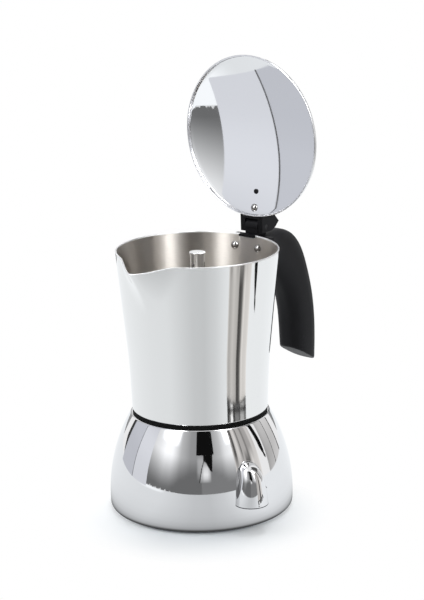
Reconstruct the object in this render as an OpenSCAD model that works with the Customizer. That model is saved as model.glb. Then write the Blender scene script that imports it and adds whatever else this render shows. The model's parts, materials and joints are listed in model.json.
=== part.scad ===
// Stovetop espresso maker: a belly-shaped boiler, a filter funnel, and a flared
// upper pot with a pressed spout, a side handle and a hinged domed lid.
// The pot's axis is +Z, the underside of the base is z = 0, the handle points to +X
// and the spout to -X. Everything is in millimetres.

/* [Boiler] */
// Largest outer radius of the boiler's belly
boiler_r = 57.2; // [54:0.1:62]
// Height at which the belly is widest
belly_z = 8; // [6:0.5:10]
// Radius of the arc that draws the belly's side
belly_arc_r = 104; // [98:1:112]
// Height of the flat shoulder under the upper pot
shoulder_z = 60.5; // [56:0.5:62]
// Rounding between the side and the underside
foot_round = 3; // [1.5:0.1:3.6]
// Sheet thickness of the boiler
boiler_wall = 1.2; // [0.8:0.1:1.4]
// Height of the neck's mouth
mouth_z = 75; // [73:0.5:78]
// Radius of the heat-spreading base disc
disc_r = 52.4; // [40:0.1:52.4]
// Thickness of the heat-spreading base disc
disc_t = 3.2; // [2:0.1:4]

/* [Safety valve] */
// Bearing of the valve housing, seen from above, from the handle
valve_angle = -108; // [-130:1:-80]
// Distance of the housing's axis from the pot's axis
valve_axis_r = 56.8; // [56:0.1:58]
// Radius of the housing at its open lower edge
valve_r = 10.3; // [9.8:0.1:11]
// Height of the housing's lower edge
valve_z = 15.6; // [14:0.1:17]
// Radius of the arc that draws the housing's side
valve_arc_r = 60; // [56:1:70]
// Slope at which the side passes into the round nose
nose_angle = 21; // [19:1:22]
// Radius of the vertical bore that holds the valve's pieces
valve_bore_r = 3.2; // [3:0.1:3.3]
// How far the plunger travels when the valve blows off
valve_travel = 1.5; // [1:0.1:1.8]
// Turns of the valve's spring
spring_turns = 5; // [4:1:6]

/* [Filter funnel] */
// Depth of the basket that holds the ground coffee
basket_depth = 24; // [18:0.5:26]
// Free space between the basket and the neck round it
basket_gap = 1.2; // [0.8:0.1:3]
// Outer radius of the funnel's stem
stem_r = 4.6; // [4:0.1:5.5]
// Height of the stem's open lower end
stem_z = 8.6; // [7:0.1:14]
// Sheet thickness of the funnel
funnel_wall = 0.8; // [0.6:0.1:1]

/* [Upper pot] */
// Height of the lower edge of the upper pot
collector_z = 63.4; // [63.4:0.1:64]
// Height of the rim
rim_z = 162.85; // [155:0.05:172]
// Outer radius of the straight foot of the upper pot
foot_r = 42.45; // [42:0.05:43.5]
// Outer radius of the rim
rim_r = 50.05; // [48.5:0.05:52]
// Height at which the flare begins
flare_z = 66; // [64:0.5:72]
// Height at which the flare has reached its full slope
flare_full_z = 104; // [98:0.5:110]
// Sheet thickness of the upper pot
pot_wall = 0.9; // [0.6:0.1:1]
// How far the spout's tip stands out from the rim
spout_out = 11.6; // [8:0.1:14]
// Half the angle that the spout takes of the rim
spout_half = 23; // [18:0.5:26]
// Height of the flute pressed into the wall under the spout
spout_height = 31; // [24:0.5:40]
// How far the spout's lip dips below the rim
lip_drop = 3.9; // [2:0.1:5]
// Outer radius of the riser column
column_r = 4.4; // [4:0.1:4.8]
// Height of the top of the column's cap
cap_z = 160.8; // [150:0.1:161.5]
// Wall of the collar that screws onto the boiler's neck
collar_t = 2.6; // [2:0.1:3.5]
// How far the pot's floor rises to carry the column
floor_rise = 13; // [8:0.5:16]

/* [Seals] */
// Thickness of the flat gasket on the boiler's mouth
gasket_t = 3; // [2.4:0.1:3.4]
// Inner radius of the flat gasket
gasket_inner_r = 32.5; // [30:0.1:34]
// Radius of the holes in the filter plate
filter_hole_r = 0.75; // [0.5:0.05:0.9]
// Rings of holes in the filter plate
filter_rings = 5; // [3:1:5]

/* [Handle] */
// How far the grip reaches out from the rim
grip_reach = 61.2; // [54:0.1:66]
// How far the grip's end hangs below the rim
grip_drop = 95.2; // [84:0.1:104]
// Half the width of the grip
grip_half = 9.7; // [8:0.1:11]
// Half the width of the saddle that sits on the upper pot
saddle_half = 14.5; // [14:0.1:17]
// Bearing of each handle screw from the handle's own plane
screw_angle = 10.9; // [10:0.1:12]
// Depth of the handle screws below the rim
screw_drop = 7.85; // [7:0.05:9]
// Half the width of the notch that the handle's tab fills
notch_half = 6.2; // [5.5:0.1:7]
// Depth of the notch in the rim
notch_depth = 1.8; // [1.4:0.1:2.4]

/* [Lid] */
// Outer radius of the lid
lid_r = 50.9; // [50.4:0.1:51.2]
// Height of the lid from its edge to the top of its dome
lid_h = 10.2; // [9.8:0.1:12]
// Radius of the lid's shallow dome
crown_r = 180; // [175:1:220]
// Rounding between the dome and the skirt
lid_round = 3; // [2.4:0.1:3.4]
// Sheet thickness of the lid
lid_t = 1; // [0.8:0.1:1.2]
// Angle at which the lid stands open
lid_open = 88.5; // [0:0.5:100]
// Distance of the hinge pin from the pot's axis
hinge_x = 57.2; // [57.2:0.1:58]
// Height of the hinge pin above the rim
hinge_rise = 4.35; // [4.3:0.05:5]
// Radius of the hinge pin
pin_r = 1.5; // [1.2:0.1:1.8]
// Half the width of the lid's bracket
bracket_half = 8.7; // [8.2:0.1:9.2]
// Half the width of the handle's hinge knuckle
knuckle_half = 4.9; // [4.4:0.1:5]
// Height of the bracket's thumb lug above the hinge pin
lug_h = 12.8; // [10:0.1:14]

/* [Hidden] */
$fn = 96;

weld_gap = 0.05;      // joint line between pieces that are welded or bonded
running_gap = 0.05;   // radial clearance of a pin or plunger in its bore
thread_gap = 0.3;     // radial clearance between the neck and the screw collar
stack_gap = 0.08;     // air between the pieces stacked on the boiler's mouth
far = 200;            // longer than any cut has to be

steel = "gainsboro";
inner_steel = "silver";
black = [0.13, 0.13, 0.14];
brass = [0.72, 0.58, 0.30];

// ---- Boiler ----

recess_r = disc_r + 0.1;
boiler_floor_z = disc_t + boiler_wall;
pot_foot_inner_r = foot_r - pot_wall;
collar_inner_r = pot_foot_inner_r - weld_gap - collar_t;
neck_r = collar_inner_r - thread_gap;   // the neck is threaded on the outside
neck_inner_r = neck_r - boiler_wall;

// Half section of the boiler's outer form, drawn `inset` inside its surface.
module belly_outline(inset = 0) {
    intersection() {
        translate([boiler_r - belly_arc_r, belly_z]) circle(r = belly_arc_r - inset, $fn = 200);
        union() {
            translate([0, foot_round]) square([boiler_r - inset, shoulder_z - foot_round - inset]);
            translate([0, inset]) square([boiler_r - foot_round, shoulder_z - 2 * inset]);
            translate([boiler_r - foot_round, foot_round]) circle(r = foot_round - inset, $fn = 48);
        }
    }
}

module belly_solid(grow = 0) {
    rotate_extrude() belly_outline(-grow);
}

module at_valve(r = 0) {
    rotate([0, 0, valve_angle]) translate([r, 0, 0]) children();
}

module boiler_shell() {
    color(steel) difference() {
        rotate_extrude() difference() {
            union() {
                belly_outline();
                translate([0, shoulder_z - boiler_wall]) square([neck_r, mouth_z - shoulder_z + boiler_wall]);
            }
            intersection() {
                belly_outline(boiler_wall);
                translate([0, boiler_floor_z]) square([boiler_r, shoulder_z - boiler_wall - boiler_floor_z]);
            }
            translate([0, boiler_floor_z]) square([neck_inner_r, mouth_z]);
            square([recess_r, disc_t]);
        }
        at_valve() translate([0, 0, port_z]) rotate([0, 90, 0]) cylinder(r = port_r, h = far, $fn = 24);
    }
}

module base_disc() {
    color(inner_steel) cylinder(r = disc_r, h = disc_t);
}

// ---- Safety valve ----

valve_skirt = 1.4;          // straight part of the side at the housing's lower edge
valve_stack = 13.7;         // height that retainer, spring, plunger and seat take in the bore
nose_z = valve_z + valve_skirt + valve_arc_r * sin(nose_angle);
nose_tangent_r = valve_r - valve_arc_r * (1 - cos(nose_angle));
nose_r = nose_tangent_r / cos(nose_angle);
valve_bore_axis_r = valve_axis_r + 4;   // further out than the nose, clear of the belly
valve_bore_top_z = valve_z + valve_stack + valve_travel;
valve_seat_t = 0.8;
retainer_z = valve_z + 0.9;
retainer_t = 3;
port_r = 1.2;
port_z = valve_bore_top_z + 1.8;
stem_guide_r = 1;
plunger_t = 1.8;
plunger_top_z = valve_bore_top_z - valve_seat_t - 0.02;
spring_top_z = plunger_top_z - plunger_t - 0.05;
spring_z = retainer_z + retainer_t + 0.05;
spring_wire_r = 0.35;
spring_r = (valve_bore_r + stem_guide_r) / 2;

module valve_outline() {
    intersection() {
        translate([valve_r - valve_arc_r, valve_z + valve_skirt]) circle(r = valve_arc_r, $fn = 200);
        translate([0, valve_z + valve_skirt]) square([valve_r, nose_z - valve_z - valve_skirt]);
    }
    translate([0, valve_z]) square([valve_r, valve_skirt + 0.1]);
    intersection() {
        translate([0, nose_z - nose_r * sin(nose_angle)]) circle(r = nose_r, $fn = 96);
        translate([0, nose_z]) square([valve_r, nose_r]);
    }
}

// A polished bullet that stands against the belly: closed and round on top, bored from below.
module valve_housing() {
    color(steel) difference() {
        at_valve(valve_axis_r) rotate([0, 0, 180]) rotate_extrude() valve_outline();
        belly_solid(weld_gap);
        at_valve(valve_bore_axis_r) {
            translate([0, 0, valve_z - 1]) {
                cylinder(r = valve_bore_r, h = valve_bore_top_z - valve_z + 1, $fn = 48);
            }
            cylinder(r = port_r + 0.2, h = port_z + 2 * port_r, $fn = 24);
        }
        at_valve() translate([0, 0, port_z]) rotate([0, 90, 0]) {
            cylinder(r = port_r, h = valve_bore_axis_r, $fn = 24);
        }
    }
}

module valve_seat() {
    color("ivory") at_valve(valve_bore_axis_r) translate([0, 0, valve_bore_top_z - valve_seat_t]) {
        difference() {
            cylinder(r = valve_bore_r - weld_gap, h = valve_seat_t, $fn = 48);
            translate([0, 0, -1]) cylinder(r = port_r, h = 3, $fn = 24);
        }
    }
}

module valve_plunger() {
    color(brass) at_valve(valve_bore_axis_r) {
        translate([0, 0, plunger_top_z - plunger_t]) {
            cylinder(r = valve_bore_r - running_gap, h = plunger_t, $fn = 48);
        }
        translate([0, 0, retainer_z + 0.6]) {
            cylinder(r = stem_guide_r, h = plunger_top_z - plunger_t / 2 - retainer_z - 0.6, $fn = 32);
        }
    }
}

// Round wire wound on the plunger's stem: one ring of points per step along the helix.
module valve_spring() {
    sides = 6;
    steps = 14 * spring_turns;
    rise = spring_top_z - spring_z - 2 * spring_wire_r;
    points = [for (i = [0:steps]) for (k = [0:sides - 1])
        let (a = 360 * spring_turns * i / steps, b = 360 * k / sides, r = spring_r + spring_wire_r * cos(b))
        [r * cos(a), r * sin(a), spring_z + spring_wire_r + rise * i / steps + spring_wire_r * sin(b)]];
    skin = [for (i = [0:steps - 1]) for (k = [0:sides - 1])
        let (n = (k + 1) % sides)
        [i * sides + k, (i + 1) * sides + k, (i + 1) * sides + n, i * sides + n]];
    ends = [[for (k = [0:sides - 1]) k], [for (k = [sides - 1:-1:0]) steps * sides + k]];
    color("silver") at_valve(valve_bore_axis_r) polyhedron(points, concat(skin, ends));
}

module valve_retainer() {
    vent_r = 0.45;
    color(brass) at_valve(valve_bore_axis_r) translate([0, 0, retainer_z]) linear_extrude(retainer_t) {
        difference() {
            circle(r = valve_bore_r - weld_gap, $fn = 48);
            circle(r = stem_guide_r + running_gap, $fn = 32);
            for (a = [0:90:270]) rotate(a) {
                translate([(valve_bore_r + stem_guide_r) / 2, 0]) circle(r = vent_r, $fn = 16);
            }
        }
    }
}

// ---- Seals and filter funnel ----

basket_r = neck_inner_r - basket_gap;
flange_z = mouth_z + stack_gap;
gasket_z = flange_z + funnel_wall + stack_gap;
filter_z = gasket_z + gasket_t + stack_gap;
filter_t = 0.5;
floor_z = filter_z + filter_t + stack_gap;
basket_z = mouth_z - basket_depth;
basket_slope = 3;           // drop of the basket's bottom towards the stem
screen_z = basket_z + 2.4;  // the screen stands on its own ring above the bottom

module ring(outer, inner, h) {
    linear_extrude(h) difference() {
        circle(r = outer);
        circle(r = inner);
    }
}

// Soft black ring in the seam; it stands back a little from the pot's foot.
module seam_ring() {
    seam_inset = 0.5;
    color(black) translate([0, 0, shoulder_z + weld_gap]) {
        ring(foot_r - seam_inset, collar_inner_r, collector_z - shoulder_z - weld_gap - thread_gap);
    }
}

// Basket, sloping bottom and stem, spun from one sheet, with a flange on the boiler's mouth.
module funnel() {
    slope_z = basket_z - basket_slope;
    color(inner_steel) rotate_extrude() difference() {
        union() {
            translate([0, flange_z]) square([neck_r - 0.2, funnel_wall]);
            translate([0, basket_z]) square([basket_r, flange_z + funnel_wall - basket_z]);
            polygon([[0, slope_z], [stem_r + 2, slope_z], [basket_r, basket_z], [0, basket_z]]);
            translate([0, stem_z]) square([stem_r, slope_z - stem_z + 1]);
        }
        translate([0, basket_z + funnel_wall]) square([basket_r - funnel_wall, far]);
        polygon([[0, slope_z + funnel_wall], [stem_r + 1, slope_z + funnel_wall],
            [basket_r - funnel_wall, basket_z + funnel_wall], [0, basket_z + funnel_wall + 1]]);
        translate([0, stem_z - 1]) square([stem_r - funnel_wall, far]);
    }
}

// Rings of holes on a disc: the count of each ring grows with its radius.
module hole_rings(rings, pitch, hole_r) {
    circle(r = hole_r, $fn = 16);
    for (k = [1:rings]) for (i = [0:6 * k - 1]) {
        rotate(360 * i / (6 * k)) translate([k * pitch, 0]) circle(r = hole_r, $fn = 16);
    }
}

module funnel_screen() {
    seat_gap = 0.1;
    outer = basket_r - funnel_wall - seat_gap;
    foot_h = screen_z - basket_z - funnel_wall;
    color(inner_steel) translate([0, 0, basket_z + funnel_wall + weld_gap]) {
        ring(outer, outer - funnel_wall, foot_h);
        translate([0, 0, foot_h]) linear_extrude(filter_t) difference() {
            circle(r = outer);
            hole_rings(4, (basket_r - 4) / 4.6, filter_hole_r);
        }
    }
}

module gasket() {
    color("whitesmoke") translate([0, 0, gasket_z]) {
        ring(collar_inner_r - weld_gap, gasket_inner_r, gasket_t);
    }
}

module filter_plate() {
    plate_r = collar_inner_r - 1;
    color(inner_steel) translate([0, 0, filter_z]) linear_extrude(filter_t) difference() {
        circle(r = plate_r);
        hole_rings(filter_rings, (gasket_inner_r - 2) / filter_rings, filter_hole_r);
    }
}

// ---- Upper pot ----

flare_slope = (rim_r - foot_r) / ((flare_full_z - flare_z) / 2 + rim_z - flare_full_z);

// Outer radius of the plain wall: a straight foot, a soft bend, then an even flare.
function wall_r(z) = z < flare_z ? foot_r
    : z < flare_full_z ? foot_r + flare_slope * pow(z - flare_z, 2) / (2 * (flare_full_z - flare_z))
    : foot_r + flare_slope * ((flare_full_z - flare_z) / 2 + z - flare_full_z);

// How much of the spout is left at height z: all at the rim, none at the flute's foot.
function flute(z) = pow(max(0, 1 - (rim_z - z) / spout_height), 1.4);

tip_softness = 0.035;   // rounding of the spout's edge, as a share of its radius
root_softness = 0.5;    // rounding where the spout runs into the rim, in millimetres

// The beak in plan: two straight sides that run from the tip to the rim's circle.
function beak_slope(r, f) =
    let (h = spout_half * sqrt(f))
    (r + spout_out * f - r * cos(h)) / (r * sin(h));

// Radius of the beak's sides at d degrees from its tip, with the tip rounded.
function beak_r(d, r, f) =
    let (s = sqrt(pow(sin(d), 2) + pow(tip_softness, 2)) - tip_softness)
    (r + spout_out * f) / (cos(d) + beak_slope(r, f) * s);

// The wall and the beak, blended softly where they meet.
function spout_r(d, z) =
    let (r = wall_r(z), f = flute(z))
    f <= 0 || abs(d) > atan(beak_slope(r, f)) ? r
    : let (soft = root_softness * f, x = (beak_r(d, r, f) - r) / soft)
    r + soft * (x > 20 ? x : ln(1 + exp(x)));

function lip_z(d) =
    let (reach = spout_half + 3)
    rim_z - (abs(d) < reach ? lip_drop * (1 + cos(180 * d / reach)) / 2 : 0);

// Columns of points around the pot, close together at the spout.
wall_angles = concat([for (d = [-180:5:-30]) d], [for (d = [-27:2:-11]) d], [for (d = [-9.5:1.5:9.5]) d],
    [for (d = [11:2:27]) d], [for (d = [30:5:175]) d]);
wall_levels = concat([collector_z], [for (i = [0:5]) flare_z + (flare_full_z - flare_z) * i / 5],
    [(flare_full_z + rim_z - spout_height) / 2], [for (i = [0:9]) rim_z - spout_height * (1 - i / 9)]);

function wall_ring(z, inset) = [for (d = wall_angles)
    let (r = spout_r(d, z) - inset, share = (z - collector_z) / (rim_z - collector_z))
    [-r * cos(d), -r * sin(d), z - (rim_z - lip_z(d)) * pow(share, 6)]];

// Joins rings of n points each, in order, into the skin of a closed loop of rings.
function loop_skin(rings, n) = [for (i = [0:rings - 1]) for (k = [0:n - 1])
    let (j = (i + 1) % rings, m = (k + 1) % n)
    [i * n + k, i * n + m, j * n + m, j * n + k]];

module pot_sheet() {
    n = len(wall_angles);
    levels = len(wall_levels);
    outside = [for (z = wall_levels) each wall_ring(z, 0)];
    inside = [for (i = [levels - 1:-1:0]) each wall_ring(wall_levels[i], pot_wall)];
    quads = loop_skin(2 * levels, n);
    faces = [for (q = quads) each [[q[0], q[2], q[1]], [q[0], q[3], q[2]]]];
    polyhedron(concat(outside, inside), faces);
}

module at_screw(side) {
    rotate([0, 0, side * screw_angle]) translate([0, 0, rim_z - screw_drop]) rotate([0, 90, 0]) children();
}

// The flared wall with its pressed pouring spout, drawn in one sheet.
module collector_shell() {
    color(steel) difference() {
        pot_sheet();
        translate([0, -notch_half, rim_z - notch_depth]) cube([far, 2 * notch_half, notch_depth + 1]);
        for (side = [-1, 1]) at_screw(side) cylinder(r = screw_r + 0.1, h = far, $fn = 32);
    }
}

column_foot_r = 2.5 * column_r;
column_z = floor_z + floor_rise;
column_grip = 4;            // length of the column held in the floor

// Floor that rises in the middle to carry the column.
module collector_floor() {
    outer = wall_r(floor_z) - pot_wall - weld_gap;
    cone_t = 0.8;
    top_r = column_r + cone_t;
    hollow_r = column_foot_r - cone_t;
    hollow_z = column_z - column_grip;
    color(inner_steel) rotate_extrude() difference() {
        polygon([[0, floor_z], [outer, floor_z], [outer, floor_z + pot_wall],
            [column_foot_r, floor_z + pot_wall], [top_r, column_z - 2], [top_r, column_z], [0, column_z]]);
        polygon([[0, floor_z - 1], [hollow_r, floor_z - 1], [hollow_r, floor_z],
            [column_r - 0.1, hollow_z], [0, hollow_z]]);
        translate([0, hollow_z - 1]) square([column_r + weld_gap, column_grip + 2]);
    }
}

// Collar that carries the thread; it ends a little above the pot's lower edge.
module screw_collar() {
    collar_lift = 0.2;
    color(inner_steel) translate([0, 0, collector_z + collar_lift]) {
        ring(pot_foot_inner_r - weld_gap, collar_inner_r, floor_z - collector_z - collar_lift - weld_gap);
    }
}

cap_t = 1;
column_wall = 0.8;
outlet_h = 7;
outlet_half = 1.2;
outlet_drop = 9.5;          // from the cap's top to the middle of the outlets

// Riser tube with three tall outlets under its cap.
module column() {
    color(inner_steel) difference() {
        translate([0, 0, column_z - column_grip + weld_gap]) {
            ring(column_r, column_r - column_wall, cap_z - cap_t - column_z + column_grip - 2 * weld_gap);
        }
        for (a = [60:120:300]) rotate([0, 0, a]) translate([0, 0, cap_z - outlet_drop - outlet_h / 2]) {
            translate([0, -outlet_half, 0]) cube([far, 2 * outlet_half, outlet_h - outlet_half]);
            for (z = [0, outlet_h - outlet_half]) translate([0, 0, z]) {
                rotate([0, 90, 0]) cylinder(r = outlet_half, h = far, $fn = 24);
            }
        }
    }
}

module column_cap() {
    edge = 0.35;
    cap_r = column_r + 0.6;
    plug_h = 3;
    color(steel) {
        translate([0, 0, cap_z - cap_t]) rotate_extrude() {
            square([cap_r - edge, cap_t]);
            square([cap_r, cap_t - edge]);
            translate([cap_r - edge, cap_t - edge]) circle(r = edge, $fn = 24);
        }
        translate([0, 0, cap_z - cap_t - plug_h]) {
            cylinder(r = column_r - column_wall - weld_gap, h = plug_h + 0.1, $fn = 48);
        }
    }
}

// ---- Handle ----

hinge_z = rim_z + hinge_rise;
knuckle_r = 4.5;
screw_r = 1.6;
insert_r = 2.6;
insert_h = 6;
saddle_top_z = rim_z - 1.6;
saddle_z = saddle_top_z - 8 * screw_r;
saddle_front = rim_r - 10;  // lies inside the pot's room, which is cut out of the saddle
saddle_back = rim_r + 7.45;
tab_reach = 1.4;            // how far the tab in the notch stands inside the pot's wall
slide_gap = 0.3;            // free space between the knuckle and the bracket's ears
ear_room = bracket_half + 2 * slide_gap - knuckle_half;

// Rungs of the handle from the saddle to the grip's end. Each gives the point on the inner
// side, the point on the outer side and the half width. Points are shares of the grip's
// reach out from the rim and of its drop below it, and widths are shares of its half width.
grip_shares = [
    [[-0.05, 0.149], [-0.033, 0.017], 1.289],
    [[0.065, 0.155], [0.097, 0.015], 1.351],
    [[0.187, 0.174], [0.261, 0.012], 1.103],
    [[0.301, 0.218], [0.449, 0.013], 1],
    [[0.416, 0.288], [0.628, 0.057], 0.979],
    [[0.522, 0.378], [0.767, 0.153], 0.969],
    [[0.604, 0.488], [0.868, 0.305], 0.979],
    [[0.653, 0.609], [0.947, 0.483], 1],
    [[0.674, 0.735], [0.989, 0.651], 1],
    [[0.682, 0.83], [1.001, 0.819], 0.99],
    [[0.692, 0.901], [0.998, 0.984], 0.948],
    [[0.726, 0.92], [0.963, 1], 0.773]];

function grip_point(p) = [rim_r + p[0] * grip_reach, rim_z - p[1] * grip_drop];

handle_rungs = [for (g = grip_shares) [grip_point(g[0]), grip_point(g[1]), g[2] * grip_half]];

// Smooth curve through a list of values, at parameter t between entries 1 and 2.
function spline(a, b, c, d, t) =
    b + (c - a) * t / 2 + (2 * a - 5 * b + 4 * c - d) * t * t / 2 + (3 * b - a - 3 * c + d) * t * t * t / 2;

function rung(i) = handle_rungs[min(max(i, 0), len(handle_rungs) - 1)];

function rung_at(i, t) =
    [for (k = [0:2]) spline(rung(i - 1)[k], rung(i)[k], rung(i + 1)[k], rung(i + 2)[k], t)];

grip_points = 28;
squareness = 2.9;   // 2 draws oval sections, larger values draw squarer ones

function power_cos(a) = sign(cos(a)) * pow(abs(cos(a)), 2 / squareness);
function power_sin(a) = sign(sin(a)) * pow(abs(sin(a)), 2 / squareness);

function section(r) =
    let (mid = (r[0] + r[1]) / 2, half = (r[1] - r[0]) / 2)
    [for (k = [0:grip_points - 1]) let (a = 360 * k / grip_points, p = mid + half * power_cos(a))
        [p[0], r[2] * power_sin(a), p[1]]];

module grip() {
    last = len(handle_rungs) - 1;
    rungs = concat([for (i = [0:last - 1]) for (t = [0, 0.5]) rung_at(i, t)], [rung(last)]);
    points = [for (r = rungs) each section(r)];
    n = grip_points;
    sides = [for (i = [0:len(rungs) - 2]) for (k = [0:n - 1]) let (m = (k + 1) % n)
        each [[i * n + k, i * n + m, (i + 1) * n + m], [i * n + k, (i + 1) * n + m, (i + 1) * n + k]]];
    first_cap = [for (k = [n - 1:-1:0]) k];
    last_cap = [for (k = [0:n - 1]) (len(rungs) - 1) * n + k];
    polyhedron(points, concat(sides, [first_cap, last_cap]));
}

// The room that the upper pot's flared wall takes, with `gap` around it.
module pot_room(gap) {
    low = flare_full_z;
    translate([0, 0, low]) {
        cylinder(r1 = wall_r(low) + gap, r2 = wall_r(rim_z + 10) + gap, h = rim_z + 10 - low);
    }
}

module handle() {
    color(black) difference() {
        union() {
            difference() {
                union() {
                    grip();
                    translate([saddle_front, -saddle_half, saddle_z]) {
                        cube([saddle_back - saddle_front, 2 * saddle_half, saddle_top_z - saddle_z]);
                    }
                }
                pot_room(0.1);
            }
            intersection() {
                translate([rim_r - pot_wall - tab_reach, -notch_half + 0.1, rim_z - notch_depth + 0.1]) {
                    cube([8, 2 * notch_half - 0.2, notch_depth - 0.3]);
                }
                cylinder(r = hinge_x - knuckle_r, h = far);
            }
            translate([hinge_x - knuckle_r + slide_gap, -knuckle_half, saddle_top_z - 4]) {
                cube([2 * (knuckle_r - slide_gap), 2 * knuckle_half, hinge_z - saddle_top_z + 4]);
            }
            translate([hinge_x, knuckle_half, hinge_z]) rotate([90, 0, 0]) {
                cylinder(r = knuckle_r, h = 2 * knuckle_half);
            }
        }
        translate([hinge_x, saddle_half, hinge_z]) rotate([90, 0, 0]) {
            cylinder(r = pin_r + running_gap, h = 2 * saddle_half, $fn = 48);
        }
        for (side = [-1, 1]) at_screw(side) {
            translate([0, 0, insert_x]) cylinder(r = insert_r + 0.02, h = insert_h, $fn = 48);
            cylinder(r = screw_r + 0.1, h = insert_x + insert_h, $fn = 32);
        }
        for (side = [-1, 1]) translate([hinge_x, side * (knuckle_half + ear_room / 2), hinge_z]) {
            rotate([90, 0, 0]) cylinder(r = ear_reach + slide_gap, h = ear_room, center = true);
        }
    }
}

insert_x = wall_r(rim_z - screw_drop) + 0.6;

module handle_inserts() {
    color(brass) for (side = [-1, 1]) at_screw(side) translate([0, 0, insert_x + 0.05]) {
        ring(insert_r, screw_r + running_gap, insert_h - 0.1, $fn = 48);
    }
}

// A dome-headed screw whose head stands on z = 0 and whose shank runs up +Z.
module dome_screw(head_r, head_h, shank_r, shank_h) {
    cap_r = (head_r * head_r + head_h * head_h) / (2 * head_h);
    intersection() {
        translate([0, 0, cap_r - head_h]) sphere(r = cap_r, $fn = 64);
        translate([0, 0, -head_h]) cylinder(r = head_r, h = head_h, $fn = 48);
    }
    translate([0, 0, -head_h / 4]) cylinder(r = shank_r, h = shank_h + head_h / 4, $fn = 32);
}

module handle_screws() {
    head_seat = (wall_r(rim_z - screw_drop) - pot_wall) * cos(2.5) - 0.3;
    color(steel) for (side = [-1, 1]) at_screw(side) translate([0, 0, head_seat]) {
        dome_screw(2.6, 1.6, screw_r, insert_x + insert_h - head_seat - 0.6);
    }
}

// ---- Lid, drawn closed and swung open about the hinge pin ----

edge_z = rim_z + 0.3;
corner_x = lid_r - lid_round;
corner_z = lid_h - crown_r + sqrt(pow(crown_r - lid_round, 2) - corner_x * corner_x);
lid_screw_x = 0.904 * lid_r;   // the screw and the peg that hold the bracket on the lid
peg_x = 0.7014 * lid_r;
peg_r = 1.6;
lid_screw_r = 1.5;
ear_bottom = hinge_z - edge_z;
ear_back = 3.4;
ear_reach = sqrt(ear_bottom * ear_bottom + ear_back * ear_back);

// Height of the dome's surface at x, `inset` below its outer side, and its slope there.
function dome_z(x, inset = 0) = edge_z + lid_h - crown_r + sqrt(pow(crown_r - inset, 2) - x * x);
function dome_slope(x) = asin(x / crown_r);

// Half section of the closed form under the lid's surface: dome, rounding and skirt.
module lid_outline(inset = 0) {
    meet_x = corner_x * (crown_r - inset) / (crown_r - lid_round);
    intersection() {
        translate([0, lid_h - crown_r]) circle(r = crown_r - inset, $fn = 360);
        square([meet_x, lid_h + 1]);
    }
    intersection() {
        translate([corner_x, corner_z]) circle(r = lid_round - inset, $fn = 48);
        translate([meet_x - 0.02, corner_z]) square([lid_round, lid_h]);
    }
    square([lid_r - inset, corner_z]);
}

module swing() {
    translate([hinge_x, 0, hinge_z]) rotate([0, lid_open, 0]) translate([-hinge_x, 0, -hinge_z]) children();
}

module at_lid_screw(inset = 0) {
    translate([lid_screw_x, 0, dome_z(lid_screw_x, inset)]) rotate([0, dome_slope(lid_screw_x), 0]) children();
}

module lid() {
    color(steel) swing() difference() {
        translate([0, 0, edge_z]) rotate_extrude($fn = 200) difference() {
            lid_outline();
            lid_outline(lid_t);
            translate([0, -1]) square([lid_r - lid_t, 1.01]);
        }
        translate([peg_x, 0, edge_z - 1]) cylinder(r = peg_r + 0.1, h = 2 * lid_h, $fn = 32);
        at_lid_screw() translate([0, 0, -lid_h / 2]) cylinder(r = lid_screw_r + 0.1, h = lid_h, $fn = 32);
    }
}

// Hinge block with two ears, a thumb lug and a tongue that lies on the lid.
module lid_bracket() {
    tongue_x = peg_x - 0.69 * bracket_half;
    tongue_t = 0.17 * lug_h;
    lug_shares = [[0.14, 0.7], [-0.12, 1], [-0.48, 0.68], [-0.86, 0.5]];
    lug = [for (p = lug_shares) [hinge_x + p[0] * lug_h, hinge_z + p[1] * lug_h]];
    back_x = hinge_x + ear_back;
    tip_x = tongue_x + bracket_half;
    side_view = concat([[back_x, edge_z], [back_x, hinge_z + 0.4 * lug_h]], lug,
        [[tongue_x, dome_z(tongue_x) + tongue_t], [tongue_x, edge_z]]);
    color(black) swing() {
        difference() {
            intersection() {
                translate([0, bracket_half, 0]) rotate([90, 0, 0]) {
                    linear_extrude(2 * bracket_half) polygon(side_view);
                }
                union() {
                    translate([tip_x, 0, edge_z]) cylinder(r = bracket_half, h = far, $fn = 64);
                    translate([tip_x, -bracket_half, edge_z]) cube([far, 2 * bracket_half, far]);
                }
            }
            translate([0, 0, edge_z]) rotate_extrude($fn = 200) {
                lid_outline(-weld_gap);
                translate([0, -1]) square([lid_r + weld_gap, 1.1]);
            }
            translate([hinge_x - knuckle_r - 0.5, -knuckle_half - 0.25, edge_z - 1]) {
                cube([far, 2 * knuckle_half + 0.5, hinge_z - edge_z + 1 + knuckle_r + 0.5]);
            }
            translate([hinge_x, far / 2, hinge_z]) rotate([90, 0, 0]) {
                cylinder(r = pin_r + running_gap, h = far, $fn = 48);
            }
            at_lid_screw() {
                translate([0, 0, -1]) {
                    cylinder(r = lid_screw_r + 0.1, h = lid_insert_z + lid_insert_h + 1, $fn = 32);
                }
                translate([0, 0, lid_insert_z]) {
                    cylinder(r = lid_insert_r + 0.02, h = lid_insert_h, $fn = 48);
                }
            }
        }
        translate([peg_x, 0, dome_z(peg_x, lid_t) - 0.4]) cylinder(r = peg_r, h = lid_t + 1.5, $fn = 32);
    }
}

lid_insert_r = 2.4;
lid_insert_h = 3.2;
lid_insert_z = 0.8;

module lid_insert() {
    color(brass) swing() at_lid_screw() translate([0, 0, lid_insert_z + 0.05]) {
        ring(lid_insert_r, lid_screw_r + running_gap, lid_insert_h - 0.1, $fn = 48);
    }
}

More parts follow.
